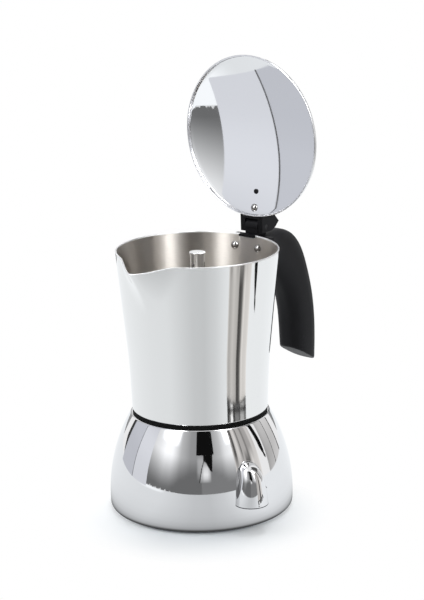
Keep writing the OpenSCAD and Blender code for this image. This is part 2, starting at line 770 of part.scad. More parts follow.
// Pan-head screw with a cross recess, its head on the lid's inner side.
module lid_screw() {
    head_h = 1.5;
    recess = [2.6, 0.55, 1.6];   // length, width and depth of one slot of the cross
    seat = lid_t + 0.2;
    color(steel) swing() at_lid_screw() translate([0, 0, -seat]) difference() {
        dome_screw(2.5, head_h, lid_screw_r, seat + lid_insert_z + lid_insert_h - 0.4);
        for (a = [20, 110]) translate([0, 0, -head_h]) rotate([0, 0, a]) {
            cube(recess, center = true);
        }
    }
}

module hinge_pin() {
    color(steel) translate([hinge_x, bracket_half - 0.1, hinge_z]) rotate([90, 0, 0]) {
        cylinder(r = pin_r, h = 2 * bracket_half - 0.2, $fn = 48);
    }
}

boiler_shell();
base_disc();
valve_housing();
valve_seat();
valve_plunger();
valve_spring();
valve_retainer();
seam_ring();
funnel();
funnel_screen();
gasket();
filter_plate();
collector_shell();
collector_floor();
screw_collar();
column();
column_cap();
handle();
handle_inserts();
handle_screws();
hinge_pin();
lid();
lid_bracket();
lid_insert();
lid_screw();
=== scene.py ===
# %% [markdown]
# # A stovetop espresso maker in polished steel
# The pot has a belly-shaped boiler, an upper pot that screws onto it, a side handle of
# black plastic and a domed lid that stands open. The CAD model gives every size and
# every moving part. This lesson dresses that model: where a CAD solid already has the
# right shape it only gets a finish, and where polish shows every facet the piece is
# turned or lofted again as a finer mesh in the same place.

# %% Load the CAD model as a fixed frame
import json
import math

import bmesh
import bpy
from mathutils import Matrix, Vector

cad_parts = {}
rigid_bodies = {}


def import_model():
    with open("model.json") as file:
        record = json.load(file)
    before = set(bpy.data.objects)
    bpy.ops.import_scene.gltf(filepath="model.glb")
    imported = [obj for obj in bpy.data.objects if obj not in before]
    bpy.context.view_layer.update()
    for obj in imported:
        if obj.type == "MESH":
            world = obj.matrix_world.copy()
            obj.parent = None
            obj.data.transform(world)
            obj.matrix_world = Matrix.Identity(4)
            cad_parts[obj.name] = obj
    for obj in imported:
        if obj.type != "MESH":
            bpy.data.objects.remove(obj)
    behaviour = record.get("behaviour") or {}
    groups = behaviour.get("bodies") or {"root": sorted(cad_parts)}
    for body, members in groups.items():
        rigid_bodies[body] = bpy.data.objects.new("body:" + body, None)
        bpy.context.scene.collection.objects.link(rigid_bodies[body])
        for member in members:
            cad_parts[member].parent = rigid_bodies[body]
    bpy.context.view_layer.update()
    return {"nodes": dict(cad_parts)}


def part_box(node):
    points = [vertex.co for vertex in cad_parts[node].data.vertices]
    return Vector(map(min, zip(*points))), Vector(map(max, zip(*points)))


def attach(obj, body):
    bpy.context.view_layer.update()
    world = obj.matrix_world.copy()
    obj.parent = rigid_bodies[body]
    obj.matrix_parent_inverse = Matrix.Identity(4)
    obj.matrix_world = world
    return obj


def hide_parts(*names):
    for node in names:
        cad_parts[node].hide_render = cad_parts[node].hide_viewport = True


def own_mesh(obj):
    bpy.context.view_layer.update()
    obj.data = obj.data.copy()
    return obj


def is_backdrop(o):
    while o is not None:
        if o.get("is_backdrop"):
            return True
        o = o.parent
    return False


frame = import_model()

scene = bpy.context.scene

# %% [markdown]
# ## The camera
# A long lens from a little above the rim keeps the sides of the pot nearly parallel. A
# Track To constraint could aim it. Here it is placed with an azimuth, a distance and a
# height and turned by three small angles, because a camera held by hand never points
# quite at the middle and never stands quite upright.

# %% Place the camera
CAMERA_AZIMUTH = math.radians(-49.54)
CAMERA_DISTANCE, CAMERA_HEIGHT = 1.0843, 0.4127
CAMERA_YAW, CAMERA_PITCH, CAMERA_ROLL = [math.radians(d) for d in (0.449, 14.60, 0.965)]
SENSOR_MM, LENS_MM = 36, 109.66


def turn_to(azimuth):
    """Flat direction from the pot at an azimuth, measured as the camera's is."""
    return Vector((math.sin(azimuth), -math.cos(azimuth), 0))


def camera_turn(azimuth, yaw, pitch, roll):
    """Rotation of a camera that looks back at the pot, turned right, down and rolled."""
    back = -turn_to(azimuth)
    side = back.cross(Vector((0, 0, 1)))
    flat = back * math.cos(yaw) + side * math.sin(yaw)
    side = flat.cross(Vector((0, 0, 1)))
    ahead = flat * math.cos(pitch) - Vector((0, 0, math.sin(pitch)))
    up = side.cross(ahead)
    right = side * math.cos(roll) - up * math.sin(roll)
    up = up * math.cos(roll) + side * math.sin(roll)
    return Matrix((right, up, -ahead)).transposed().to_4x4()


def put_in_scene(name, data):
    """An object made from some data and linked to the scene."""
    thing = bpy.data.objects.new(name, data)
    scene.collection.objects.link(thing)
    return thing


lens = bpy.data.cameras.new("camera")
lens.sensor_fit = "VERTICAL"
lens.sensor_height = SENSOR_MM
lens.sensor_width = SENSOR_MM
lens.lens = LENS_MM
lens.clip_start = 0.01
camera = put_in_scene("camera", lens)
spot = turn_to(CAMERA_AZIMUTH) * CAMERA_DISTANCE + Vector((0, 0, CAMERA_HEIGHT))
view = camera_turn(CAMERA_AZIMUTH, CAMERA_YAW, CAMERA_PITCH, CAMERA_ROLL)
camera.matrix_world = Matrix.Translation(spot) @ view
scene.camera = camera
print("camera at", tuple(round(v, 3) for v in spot))

# %% [markdown]
# ## Materials from nodes
# A finish in Blender is a small graph of nodes. The helpers here add a node, join two
# sockets and start a new material, so that each finish below reads as a short recipe.

# %% Helpers for node graphs


def new_material(name):
    """An empty material with a Principled shader, its node tree and that shader."""
    made = bpy.data.materials.new(name)
    made.use_nodes = True
    tree = made.node_tree
    return made, tree, tree.nodes["Principled BSDF"]


def add(tree, kind, **settings):
    """Adds a node; settings that name an input socket set its value."""
    node = tree.nodes.new(kind)
    for key, value in settings.items():
        if hasattr(node, key):
            setattr(node, key, value)
        else:
            node.inputs[key.replace("_", " ")].default_value = value
    return node


def join(tree, out_socket, in_socket):
    tree.links.new(out_socket, in_socket)


def stretched_noise(tree, stretch, scale, detail=4.0):
    """Noise in the piece's own metres, squeezed or stretched along its axes."""
    place = add(tree, "ShaderNodeTexCoord")
    mapping = add(tree, "ShaderNodeMapping", Scale=stretch)
    noise = add(tree, "ShaderNodeTexNoise", Scale=scale, Detail=detail, Roughness=0.5)
    join(tree, place.outputs["Object"], mapping.inputs["Vector"])
    join(tree, mapping.outputs["Vector"], noise.inputs["Vector"])
    return noise.outputs["Fac"]


def spread(tree, fac, low, high):
    """Maps the middle of a noise, where most of it lies, onto a range."""
    node = add(tree, "ShaderNodeMapRange", From_Min=0.3, From_Max=0.7, To_Min=low, To_Max=high)
    join(tree, fac, node.inputs["Value"])
    return node.outputs["Result"]


def bump(tree, shader, height, strength, distance):
    node = add(tree, "ShaderNodeBump", Strength=strength, Distance=distance)
    join(tree, height, node.inputs["Height"])
    join(tree, node.outputs["Normal"], shader.inputs["Normal"])


# %% [markdown]
# ## Polished steel
# The outside of the pot is stainless sheet, buffed until it mirrors the room. A mirror
# is a metallic shader with almost no roughness. What keeps it from looking computed is
# what a buffing wheel leaves: a faint unevenness of the gloss and a very slow wave in
# the surface, so that straight reflections wander a little.

# %% Polished steel
HAZE_SCALE = 60


def polished_steel(name, tone, roughness, wave, wave_scale=14.0):
    """A mirror finish; wave is the depth of its slow unevenness in metres."""
    made, tree, shader = new_material(name)
    shader.inputs["Base Color"].default_value = (*tone, 1)
    shader.inputs["Metallic"].default_value = 1
    haze = stretched_noise(tree, (1, 1, 0.35), HAZE_SCALE)
    join(tree, spread(tree, haze, roughness * 0.7, roughness * 1.4), shader.inputs["Roughness"])
    slow = stretched_noise(tree, (1, 1, 0.6), wave_scale, detail=1.0)
    bump(tree, shader, slow, 1.0, wave)
    return made


boiler_polish = polished_steel("boiler_polish", (0.80, 0.80, 0.81), 0.035, 0.00012)
pot_polish = polished_steel("pot_polish", (0.835, 0.835, 0.83), 0.06, 0.00035, 11.0)
lid_polish = polished_steel("lid_polish", (0.83, 0.835, 0.845), 0.03, 0.00042, 11.0)
small_polish = polished_steel("small_polish", (0.80, 0.80, 0.80), 0.05, 0.00002)
# A much darker steel for the screw heads: painted dark reflection round their bright highlight.
screw_dark_reflection_polish = polished_steel("screw_dark_reflection_polish", (0.44, 0.43, 0.42), 0.05, 0.00002)
cut_edge = polished_steel("cut_edge", (0.92, 0.92, 0.92), 0.38, 0.0)
lid_edge = polished_steel("lid_edge", (0.83, 0.83, 0.85), 0.11, 0.0001)
print("polished steels:", [m.name for m in bpy.data.materials])

# %% [markdown]
# ## Brushed steel
# The inside of the pot was sanded while it turned, which leaves fine lines round it.
# Lines like that spread a highlight across them, so the inside shows upright bands.
# Real grooves would need millions of faces. An anisotropic metal with its tangent round
# the axis spreads the light the same way, and noise stretched along the turning
# direction draws the lines themselves.

# %% Brushed steel
GRAIN_SCALE, GRAIN_DEPTH, GRAIN_STRETCH = 2600, 0.00002, 0.004


def vary_tone(tree, shader, fac, tone, dark, light):
    """Colours a shader from a darker to a lighter version of one tone."""
    shade = add(tree, "ShaderNodeMix", data_type="RGBA")
    shade.inputs[6].default_value = (*(c * dark for c in tone), 1)
    shade.inputs[7].default_value = (*(c * light for c in tone), 1)
    join(tree, fac, shade.inputs[0])
    join(tree, shade.outputs[2], shader.inputs["Base Color"])


def turned_lines(tree):
    """Noise that hardly changes round the z axis: lines left by turning or sanding."""
    place = add(tree, "ShaderNodeTexCoord")
    split = add(tree, "ShaderNodeSeparateXYZ")
    join(tree, place.outputs["Object"], split.inputs["Vector"])
    angle = add(tree, "ShaderNodeMath", operation="ARCTAN2")
    join(tree, split.outputs["Y"], angle.inputs[0])
    join(tree, split.outputs["X"], angle.inputs[1])
    round_way = add(tree, "ShaderNodeMath", operation="MULTIPLY")
    round_way.inputs[1].default_value = GRAIN_STRETCH
    join(tree, angle.outputs[0], round_way.inputs[0])
    vector = add(tree, "ShaderNodeCombineXYZ")
    join(tree, round_way.outputs[0], vector.inputs["X"])
    join(tree, split.outputs["Z"], vector.inputs["Z"])
    noise = add(tree, "ShaderNodeTexNoise", Scale=GRAIN_SCALE, Detail=6.0, Roughness=0.7)
    join(tree, vector.outputs["Vector"], noise.inputs["Vector"])
    return noise.outputs["Fac"]


def brushed_steel(name, tone, roughness):
    made, tree, shader = new_material(name)
    shader.inputs["Metallic"].default_value = 1
    shader.inputs["Anisotropic"].default_value = 1.0
    shader.inputs["Anisotropic Rotation"].default_value = 0.25
    tangent = add(tree, "ShaderNodeTangent", direction_type="RADIAL", axis="Z")
    join(tree, tangent.outputs["Tangent"], shader.inputs["Tangent"])
    grain = turned_lines(tree)
    vary_tone(tree, shader, grain, tone, 0.82, 1.12)
    join(tree, spread(tree, grain, roughness * 0.85, roughness * 1.2), shader.inputs["Roughness"])
    bump(tree, shader, grain, 0.6, GRAIN_DEPTH)
    return made


pot_inside = brushed_steel("pot_inside", (0.60, 0.565, 0.525), 0.36)
inner_parts = brushed_steel("inner_parts", (0.63, 0.62, 0.60), 0.28)
spun_aluminium = brushed_steel("spun_aluminium", (0.74, 0.75, 0.76), 0.36)
print("brushed metals:", pot_inside.name, inner_parts.name, spun_aluminium.name)

# %% [markdown]
# ## Black plastic
# Handle and hinge are moulded from heat-proof black plastic. The mould was lightly
# grained, which gives a satin face rather than a gloss, with a paler, worn sheen where
# the gloss varies. The grain is far too fine to model, so it is a shallow bump. The
# small turned parts in brass and steel are plain metals with a cloudy gloss.

# %% Plastic, rubber, silicone and turned metals
CLOUD_SCALE, MOULD_SCALE, TURNED_SCALE = 40, 2400, 300


def moulded_plastic(name, tone, roughness, grain_depth, gloss=0.5):
    made, tree, shader = new_material(name)
    shader.inputs["Specular IOR Level"].default_value = gloss
    cloud = stretched_noise(tree, (1, 1, 1), CLOUD_SCALE)
    vary_tone(tree, shader, cloud, tone, 0.8, 1.25)
    join(tree, spread(tree, cloud, roughness * 0.9, roughness * 1.15), shader.inputs["Roughness"])
    grain = stretched_noise(tree, (1, 1, 1), MOULD_SCALE, detail=2.0)
    bump(tree, shader, grain, 0.5, grain_depth)
    return made


def turned_metal(name, tone, roughness):
    made, tree, shader = new_material(name)
    shader.inputs["Base Color"].default_value = (*tone, 1)
    shader.inputs["Metallic"].default_value = 1
    cloud = stretched_noise(tree, (1, 1, 3), TURNED_SCALE)
    join(tree, spread(tree, cloud, roughness * 0.8, roughness * 1.3), shader.inputs["Roughness"])
    bump(tree, shader, cloud, 0.3, 0.00002)
    return made


black_plastic = moulded_plastic("black_plastic", (0.0050, 0.0050, 0.0064), 0.50, 0.00002, 0.16)
# The seam ring's rubber is nearly black and matt: partly its own colour, partly painted shade for the
# gap it sits in.
black_rubber = moulded_plastic("black_rubber", (0.004, 0.004, 0.004), 0.8, 0.00002, 0.1)
white_silicone = moulded_plastic("white_silicone", (0.72, 0.72, 0.70), 0.55, 0.00001)
seat_plastic = moulded_plastic("seat_plastic", (0.75, 0.74, 0.70), 0.4, 0.00001)
brass = turned_metal("brass", (0.72, 0.52, 0.24), 0.28)
spring_wire = turned_metal("spring_wire", (0.56, 0.56, 0.57), 0.25)
dark_steel = turned_metal("dark_steel", (0.055, 0.055, 0.058), 0.55)
print("finishes so far:", len(bpy.data.materials))

# %% [markdown]
# ## A finish for every CAD solid
# Each solid is named after its piece, so one list says which metal or plastic it is made
# of. Giving materials by hand in the viewport would do as well, but the list can be read
# and checked. Solids that a finer mesh stands for later get their finish here too.

# %% Give the CAD nodes their finishes
FINISHES = {
    "boiler_shell": boiler_polish, "base_disc": spun_aluminium, "valve_housing": boiler_polish,
    "valve_seat": seat_plastic, "valve_plunger": brass, "valve_spring": spring_wire,
    "valve_retainer": brass, "seam_ring": black_rubber, "funnel": spun_aluminium,
    "funnel_screen": spun_aluminium, "gasket": white_silicone, "filter_plate": inner_parts,
    "collector_shell": pot_polish, "collector_floor": inner_parts, "screw_collar": inner_parts,
    "column": small_polish, "column_cap": small_polish, "handle": black_plastic,
    "handle_inserts": brass, "handle_screws": screw_dark_reflection_polish, "hinge_pin": dark_steel,
    "lid": lid_polish, "lid_bracket": black_plastic, "lid_insert": brass, "lid_screw": screw_dark_reflection_polish,
}
for node_name, finish in FINISHES.items():
    node = frame["nodes"][node_name]
    if not node.material_slots:
        node.data.materials.append(finish)
    for material_slot in node.material_slots:
        material_slot.material = finish
print("finished CAD nodes:", len(FINISHES))

# %% [markdown]
# ## Turning a piece on the lathe
# Most of this pot is round, so its pieces come from a half section, a list of radius
# and height pairs in millimetres, that is turned about the axis. A Screw modifier would
# do that too, but a loop leaves the points at hand, to bend or to colour afterwards.
# Corners are rounded with a few extra points. A pair of points is set close beside each rounding, which
# keeps the smooth shading of the flat parts flat: on a mirror this matters more than
# the number of faces.

# %% Corners and arcs of a half section
MM, GUARD = 0.001, 0.25


def rounded(corners, steps):
    """Half section with rounded corners. Each corner is (radius, height, rounding)."""
    line = []
    for i, (x, z, r) in enumerate(corners):
        here = Vector((x, z))
        if r == 0 or i in (0, len(corners) - 1):
            line.append(here)
            continue
        before = (Vector(corners[i - 1][:2]) - here).normalized()
        after = (Vector(corners[i + 1][:2]) - here).normalized()
        half = math.acos(max(-1, min(1, before.dot(after)))) / 2
        reach = r / math.tan(half)
        centre = here + (before + after).normalized() * (r / math.sin(half))
        start = here + before * reach - centre
        sweep = (here + after * reach - centre).angle_signed(start)
        line.append(here + before * (reach + GUARD))
        for k in range(steps + 1):
            turn = Matrix.Rotation(sweep * k / steps, 2)
            line.append(centre + turn @ start)
        line.append(here + after * (reach + GUARD))
    return line


def arc(centre, radius, start, end, steps):
    """Points on an arc, with its angles in degrees."""
    turns = [math.radians(start + (end - start) * k / steps) for k in range(steps + 1)]
    return [Vector((centre[0] + radius * math.cos(turn), centre[1] + radius * math.sin(turn)))
            for turn in turns]


print("points on a quarter circle in 12 steps:", len(arc((0, 0), 1.0, 0, 90, 12)))

# %% Turn a half section


def lathe(line, steps=240):
    """Vertices in metres and faces of a closed half section turned about the z axis."""
    verts, rings = [], []
    for p in line:
        if p[0] < 1e-6:
            rings.append([len(verts)])
            verts.append((0, 0, p[1] * MM))
            continue
        rings.append(list(range(len(verts), len(verts) + steps)))
        for k in range(steps):
            a = 2 * math.pi * k / steps
            verts.append((p[0] * MM * math.cos(a), p[0] * MM * math.sin(a), p[1] * MM))
    faces = []
    for low, high in zip(rings, rings[1:] + rings[:1]):
        for k in range(steps):
            m = (k + 1) % steps
            if len(low) == 1 and len(high) == 1:
                break
            if len(low) == 1:
                faces.append((low[0], high[m], high[k]))
            elif len(high) == 1:
                faces.append((low[k], low[m], high[0]))
            else:
                faces.append((low[k], low[m], high[m], high[k]))
    return verts, faces


print("faces of a plain ring:", len(lathe([(9, 0), (10, 0), (10, 2), (9, 2)])[1]))

# %% Make a piece that rides on its body


def closed_mesh(name, verts, faces):
    """A mesh whose faces all look outwards."""
    mesh = bpy.data.meshes.new(name)
    mesh.from_pydata([tuple(v) for v in verts], [], faces)
    shape = bmesh.new()
    shape.from_mesh(mesh)
    bmesh.ops.recalc_face_normals(shape, faces=shape.faces)
    shape.to_mesh(mesh)
    shape.free()
    return mesh


def make_piece(name, verts, faces, finishes, body, slot, stands_for=()):
    """A smooth-shaded mesh that rides on a body and may stand for CAD nodes."""
    mesh = closed_mesh(name, verts, faces)
    for finish in finishes:
        mesh.materials.append(finish)
    mesh.shade_smooth()
    piece = put_in_scene(name, mesh)
    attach(piece, body)
    if stands_for:
        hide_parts(*stands_for)
    print(name, "faces:", len(mesh.polygons))
    return piece


# %% [markdown]
# ## The boiler
# On the real pot the boiler is one drawn and spun sheet with a belly, a narrow foot
# rounding and a neck. Its side is a single slow arc, and the foot rounding meets that
# arc without a kink, because a kink would break every reflection that crosses it. It
# could be drawn as a curve by eye. The section is worked out instead, so that each arc
# is true and the inside follows the outside at the sheet's thickness.

# %% Turn the boiler
BOILER_R, BELLY_Z, BELLY_ARC, SHOULDER_Z = 57.2, 8.0, 104.0, 60.5
FOOT_ROUND, BOILER_WALL, NECK_R, MOUTH_Z = 3.0, 1.2, 38.6, 75.0
RECESS_R, DISC_T, SHOULDER_ROUND = 52.5, 3.2, 0.6
BELLY_CENTRE = (BOILER_R - BELLY_ARC, BELLY_Z)
FOOT_TILT = math.degrees(math.asin((FOOT_ROUND - BELLY_Z) / (BELLY_ARC - FOOT_ROUND)))
SHOULDER_TILT = math.degrees(math.asin((SHOULDER_Z - SHOULDER_ROUND - BELLY_Z) / BELLY_ARC))


def belly_r(z):
    """Radius of the boiler's side at a height."""
    return BELLY_CENTRE[0] + math.sqrt(BELLY_ARC ** 2 - (z - BELLY_Z) ** 2)


def boiler_outside():
    """From the foot up the belly, over the shoulder and through the mouth."""
    foot_x = BELLY_CENTRE[0] + (BELLY_ARC - FOOT_ROUND) * math.cos(math.radians(FOOT_TILT))
    edge_x = belly_r(SHOULDER_Z - SHOULDER_ROUND)
    bore_r = NECK_R - BOILER_WALL
    foot = arc((foot_x, FOOT_ROUND), FOOT_ROUND, -90, FOOT_TILT, 14)
    belly = arc(BELLY_CENTRE, BELLY_ARC, FOOT_TILT, SHOULDER_TILT, 64)[1:]
    edge = [Vector((edge_x - 0.25, SHOULDER_Z - 0.22)), Vector((edge_x - 0.7, SHOULDER_Z - 0.02))]
    neck = rounded([(edge_x - 1.0, SHOULDER_Z, 0), (NECK_R, SHOULDER_Z, 0.3), (NECK_R, MOUTH_Z, 0.3),
                    (bore_r, MOUTH_Z, 0.3), (bore_r, SHOULDER_Z - 2.5, 0)], 3)
    return foot + belly + edge + neck


def boiler_inside():
    """Down inside the belly, across the floor and out round the recess of the base."""
    side = arc(BELLY_CENTRE, BELLY_ARC - BOILER_WALL, SHOULDER_TILT - 0.8, 1, 24)
    side_x, floor_z = side[-1][0], DISC_T + BOILER_WALL
    floor = [(side_x - 1.0, floor_z + 1.4), (side_x - 3.6, floor_z), (0, floor_z), (0, DISC_T),
             (RECESS_R - 0.2, DISC_T), (RECESS_R, DISC_T - 0.2), (RECESS_R, 0.2), (RECESS_R + 0.2, 0)]
    return side + [Vector(point) for point in floor]


make_piece("boiler", *lathe(boiler_outside() + boiler_inside()), [boiler_polish], "boiler",
           "mirror_steel", ["boiler_shell"])

# %% [markdown]
# ## The valve's housing
# The safety valve sits in a small polished bullet that stands against the belly. It is
# turned about its own axis as a solid, then cut back to the belly and drilled for the
# valve with booleans, since the line where it meets the belly is far harder to draw
# than to cut. The valve stands a little off the bullet's axis, so the bore takes its
# place from the valve's seat in the CAD model. The underside and the lowest lip get a
# dark steel: painted shade for the dark shadow line under the bullet.

# %% Turn the valve's housing
VALVE_ANGLE, VALVE_AXIS_R, VALVE_R, VALVE_Z = -108.0, 56.8, 10.3, 15.6
VALVE_ARC, SIDE_START, SIDE_END, SKIRT_H = 120.0, 6.5, 16.0, 1.4
LEAN_Z, LEAN = 31.0, 0.045
FOOT_FLARE, LIP_H = 0.12, 0.7
VALVE_TURN = Matrix.Rotation(math.radians(VALVE_ANGLE), 4, "Z")
# A dark steel for the hood's underside and lip: painted shade, not a finish of the steel.
underside_shade_steel = polished_steel("underside_shade_steel", (0.10, 0.10, 0.11), 0.5, 0.0)


def hood_line():
    """Half section of the bullet: a long shallow arc on each side and a round nose."""
    low, high = math.radians(SIDE_START), math.radians(SIDE_END)
    skirt_z = VALVE_Z + SKIRT_H
    side_centre = (VALVE_R - VALVE_ARC * math.cos(low), skirt_z - VALVE_ARC * math.sin(low))
    nose_r = (side_centre[0] + VALVE_ARC * math.cos(high)) / math.cos(high)
    nose_z = side_centre[1] + VALVE_ARC * math.sin(high) - nose_r * math.sin(high)
    nose = arc((0, nose_z), nose_r, SIDE_END, 90, 28)[1:]
    nose[-1] = Vector((0, nose[-1][1]))
    foot_r = VALVE_R + FOOT_FLARE
    foot = [(0, 0), (foot_r - 0.8, 0), (foot_r - 0.35, 0), (foot_r - 0.08, 0.12), (foot_r, 0.4),
            (foot_r, LIP_H)]
    foot = [Vector((r, VALVE_Z + z)) for r, z in foot]
    return foot + arc(side_centre, VALVE_ARC, SIDE_START, SIDE_END, 40) + nose


def leaning(v):
    """A point of the bullet in its place; above the bore the nose bends towards the belly."""
    lean = LEAN * max(0.0, v[2] / MM - LEAN_Z) ** 2
    return VALVE_TURN @ (Vector(v) + Vector(((VALVE_AXIS_R - lean) * MM, 0, 0)))


verts, faces = lathe(hood_line(), 144)
hood = make_piece("valve_hood", [leaning(v) for v in verts], faces,
                  [boiler_polish, underside_shade_steel], "boiler", "mirror_steel", ["valve_housing"])
# Faces of the lowest lip get the dark steel: painted shade under the bullet.
for face in hood.data.polygons:
    face.material_index = 1 if face.center.z < (VALVE_Z + LIP_H - 0.1) * MM else 0

# %% Cut the housing back to the belly and drill it
VALVE_BORE_R, VALVE_BORE_TOP = 3.2, 30.8
CUT_LOW, CUT_HIGH, CUT_GAP = 5, 59, 0.05


def cut_by(piece, verts, faces):
    """Cuts a closed form away from a piece and keeps the result as its mesh."""
    knife = put_in_scene("knife", closed_mesh("knife", verts, faces))
    cutter = piece.modifiers.new("cut", "BOOLEAN")
    cutter.object, cutter.operation, cutter.solver = knife, "DIFFERENCE", "EXACT"
    bpy.context.view_layer.update()
    ready = piece.evaluated_get(bpy.context.evaluated_depsgraph_get())
    cut_mesh = bpy.data.meshes.new_from_object(ready)
    piece.modifiers.clear()
    piece.data = cut_mesh
    bpy.data.objects.remove(knife)


belly_cut = [Vector((0, CUT_LOW))]
belly_cut += [Vector((belly_r(z) + CUT_GAP, z)) for z in range(CUT_LOW, CUT_HIGH + 1)]
belly_cut += [Vector((0, CUT_HIGH))]
cut_by(hood, *lathe(belly_cut))
seat_low, seat_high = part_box("valve_seat")
bore_axis = (Vector(seat_low) + Vector(seat_high)) / 2
bore_axis.z = 0
bore_cut = [Vector((0, VALVE_Z - 2)), Vector((VALVE_BORE_R, VALVE_Z - 2)),
            Vector((VALVE_BORE_R, VALVE_BORE_TOP)), Vector((0, VALVE_BORE_TOP))]
verts, faces = lathe(bore_cut, 48)
cut_by(hood, [Vector(v) + bore_axis for v in verts], faces)
print("valve bore at radius", round(bore_axis.length / MM, 2), "mm")
print("hood faces after the cuts:", len(hood.data.polygons))

# %% [markdown]
# ## The valve's spring
# The spring sits under the plunger's head and is pressed together when the valve opens.
# A curve with a round bevel would draw it, but a mesh wound by a loop keeps each ring of
# points square to the wire.

# %% Wind the spring
WIRE_R, SPRING_TURNS, VALVE_TRAVEL = 0.35, 5, 1.5
spring_low, spring_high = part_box("valve_spring")
spring_axis = (Vector(spring_low) + Vector(spring_high)) / 2 / MM
coil_r = (spring_high[0] - spring_low[0]) / MM / 2 - WIRE_R
low_z, high_z = spring_low[2] / MM + WIRE_R, spring_high[2] / MM - WIRE_R


def tube_faces(rings, around):
    """Faces between equal rings of points, with a cap on each end."""
    faces = []
    for i in range(rings - 1):
        for k in range(around):
            m = (k + 1) % around
            faces.append((i * around + k, i * around + m, (i + 1) * around + m, (i + 1) * around + k))
    faces.append(tuple(reversed(range(around))))
    faces.append(tuple((rings - 1) * around + k for k in range(around)))
    return faces


def wind_spring(around=12, steps=150):
    verts = []
    for i in range(steps + 1):
        turn = 2 * math.pi * SPRING_TURNS * i / steps
        out_way = Vector((math.cos(turn), math.sin(turn), 0))
        middle = Vector((spring_axis.x, spring_axis.y, low_z + (high_z - low_z) * i / steps))
        middle += out_way * coil_r
        for k in range(around):
            a = 2 * math.pi * k / around
            side, rise = WIRE_R * math.cos(a), WIRE_R * math.sin(a)
            verts.append((middle + out_way * side + Vector((0, 0, rise))) * MM)
    return verts, tube_faces(steps + 1, around)


coil = make_piece("spring_coil", *wind_spring(), [spring_wire], "boiler", "spring_steel",
                  ["valve_spring"])
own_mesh(coil)

# %% [markdown]
# ## The upper pot
# The upper pot is a tube that was flared and then pressed out into a spout. A lathe
# can't draw the spout, so the wall is lofted: rings of points at rising heights, each
# ring the plain circle or the circle blended into a beak. The sheet has a real
# thickness, a rolled-looking rim and a notch where the handle's tab sits.

# %% Sizes of the wall
COLLECTOR_Z, RIM_Z, FOOT_R, RIM_R = 63.4, 162.85, 42.45, 50.05
FLARE_Z, FLARE_FULL_Z, POT_WALL = 66.0, 104.0, 0.9
SPOUT_OUT, SPOUT_HALF, SPOUT_HEIGHT, LIP_DROP = 11.6, 23.0, 31.0, 3.9
TIP_SOFT, ROOT_SOFT = 0.035, 0.5
NOTCH_HALF, NOTCH_DEPTH = 6.2, 1.8
FOOT_TAPER, TAPER_Z = 0.35, 85.0
FLARE_SLOPE = (RIM_R - FOOT_R) / ((FLARE_FULL_Z - FLARE_Z) / 2 + RIM_Z - FLARE_FULL_Z)


def wall_r(z):
    """Outer radius of the plain wall: straight foot, soft bend, even flare."""
    if z < FLARE_Z:
        return FOOT_R
    bend = FLARE_FULL_Z - FLARE_Z
    if z < FLARE_FULL_Z:
        return FOOT_R + FLARE_SLOPE * (z - FLARE_Z) ** 2 / (2 * bend)
    return FOOT_R + FLARE_SLOPE * (bend / 2 + z - FLARE_FULL_Z)


def foot_taper(z):
    """The drawn foot narrows a little towards its edge, as sheet does where it was trimmed."""
    return FOOT_TAPER * max(0.0, (TAPER_Z - z) / (TAPER_Z - COLLECTOR_Z)) ** 2


print("wall radius at the foot and the rim:", FOOT_R, round(wall_r(RIM_Z), 2), "mm")

# %% The spout and the lip


def spout_r(d, z):
    """Radius at d degrees from the spout's tip: the circle, blended into the beak."""
    r = wall_r(z)
    share = max(0.0, 1 - (RIM_Z - z) / SPOUT_HEIGHT) ** 1.4
    if share <= 0:
        return r
    half = math.radians(SPOUT_HALF * math.sqrt(share))
    tip = r + SPOUT_OUT * share
    slope = (tip - r * math.cos(half)) / (r * math.sin(half))
    turn = math.radians(d)
    if abs(turn) > math.atan(slope):
        return r
    side = math.sqrt(math.sin(turn) ** 2 + TIP_SOFT ** 2) - TIP_SOFT
    beak = tip / (math.cos(turn) + slope * side)
    soft = ROOT_SOFT * share
    x = (beak - r) / soft
    return r + soft * (x if x > 20 else math.log1p(math.exp(x)))


def lip_z(d):
    """Height of the rim at d degrees from the spout's tip: a dip, and the handle's notch."""
    reach = SPOUT_HALF + 3
    dip = LIP_DROP * (1 + math.cos(math.pi * d / reach)) / 2 if abs(d) < reach else 0
    across = abs(RIM_R * math.sin(math.radians(d))) if abs(d) > 90 else 99
    step = min(1.0, max(0.0, (NOTCH_HALF + 0.2 - across) / 0.4))
    return RIM_Z - dip - NOTCH_DEPTH * step * step * (3 - 2 * step)


print("the spout's tip:", round(spout_r(0, RIM_Z), 2), "mm out and", round(lip_z(0), 2), "mm up")

# %% Loft the upper pot
LEVEL_PITCH, FOOT_GAP, TOP_GAP = 2.0, 0.3, 1.3
TURN_STEP, FINE_STEP, NOTCH_EDGES = 0.5, 0.12, (171.6, 173.8)
LIP_FADE, NOTCH_FADE = 6, 40


def wall_angles():
    """Degrees from the spout's tip, close together at the spout and at the notch."""
    angles = [i * TURN_STEP for i in range(-60, 61)]
    d = 30.0
    while d < 179.9:
        d += FINE_STEP if NOTCH_EDGES[0] < d < NOTCH_EDGES[1] else TURN_STEP
        if d < 179.9:
            angles += [d, -d]
    return sorted(angles + [180.0])


def wall_stations():
    """Height, inset and lift of each ring: up the outside, over the rim, down the inside."""
    count = int((RIM_Z - COLLECTOR_Z - TOP_GAP) / LEVEL_PITCH) + 1
    levels = [COLLECTOR_Z + FOOT_GAP + i * LEVEL_PITCH for i in range(count)]
    levels += [RIM_Z - 0.9, RIM_Z - 0.55]
    rim = POT_WALL / 2
    stations = [(z, 0.0, 0.0) for z in levels]
    stations += [(RIM_Z - rim, rim * (1 - math.cos(a)), rim * math.sin(a))
                 for a in [math.pi * k / 8 for k in range(9)]]
    stations += [(z, POT_WALL, 0.0) for z in reversed(levels)]
    return stations + [(COLLECTOR_Z, POT_WALL - 0.25, 0.0), (COLLECTOR_Z, 0.25, 0.0)]


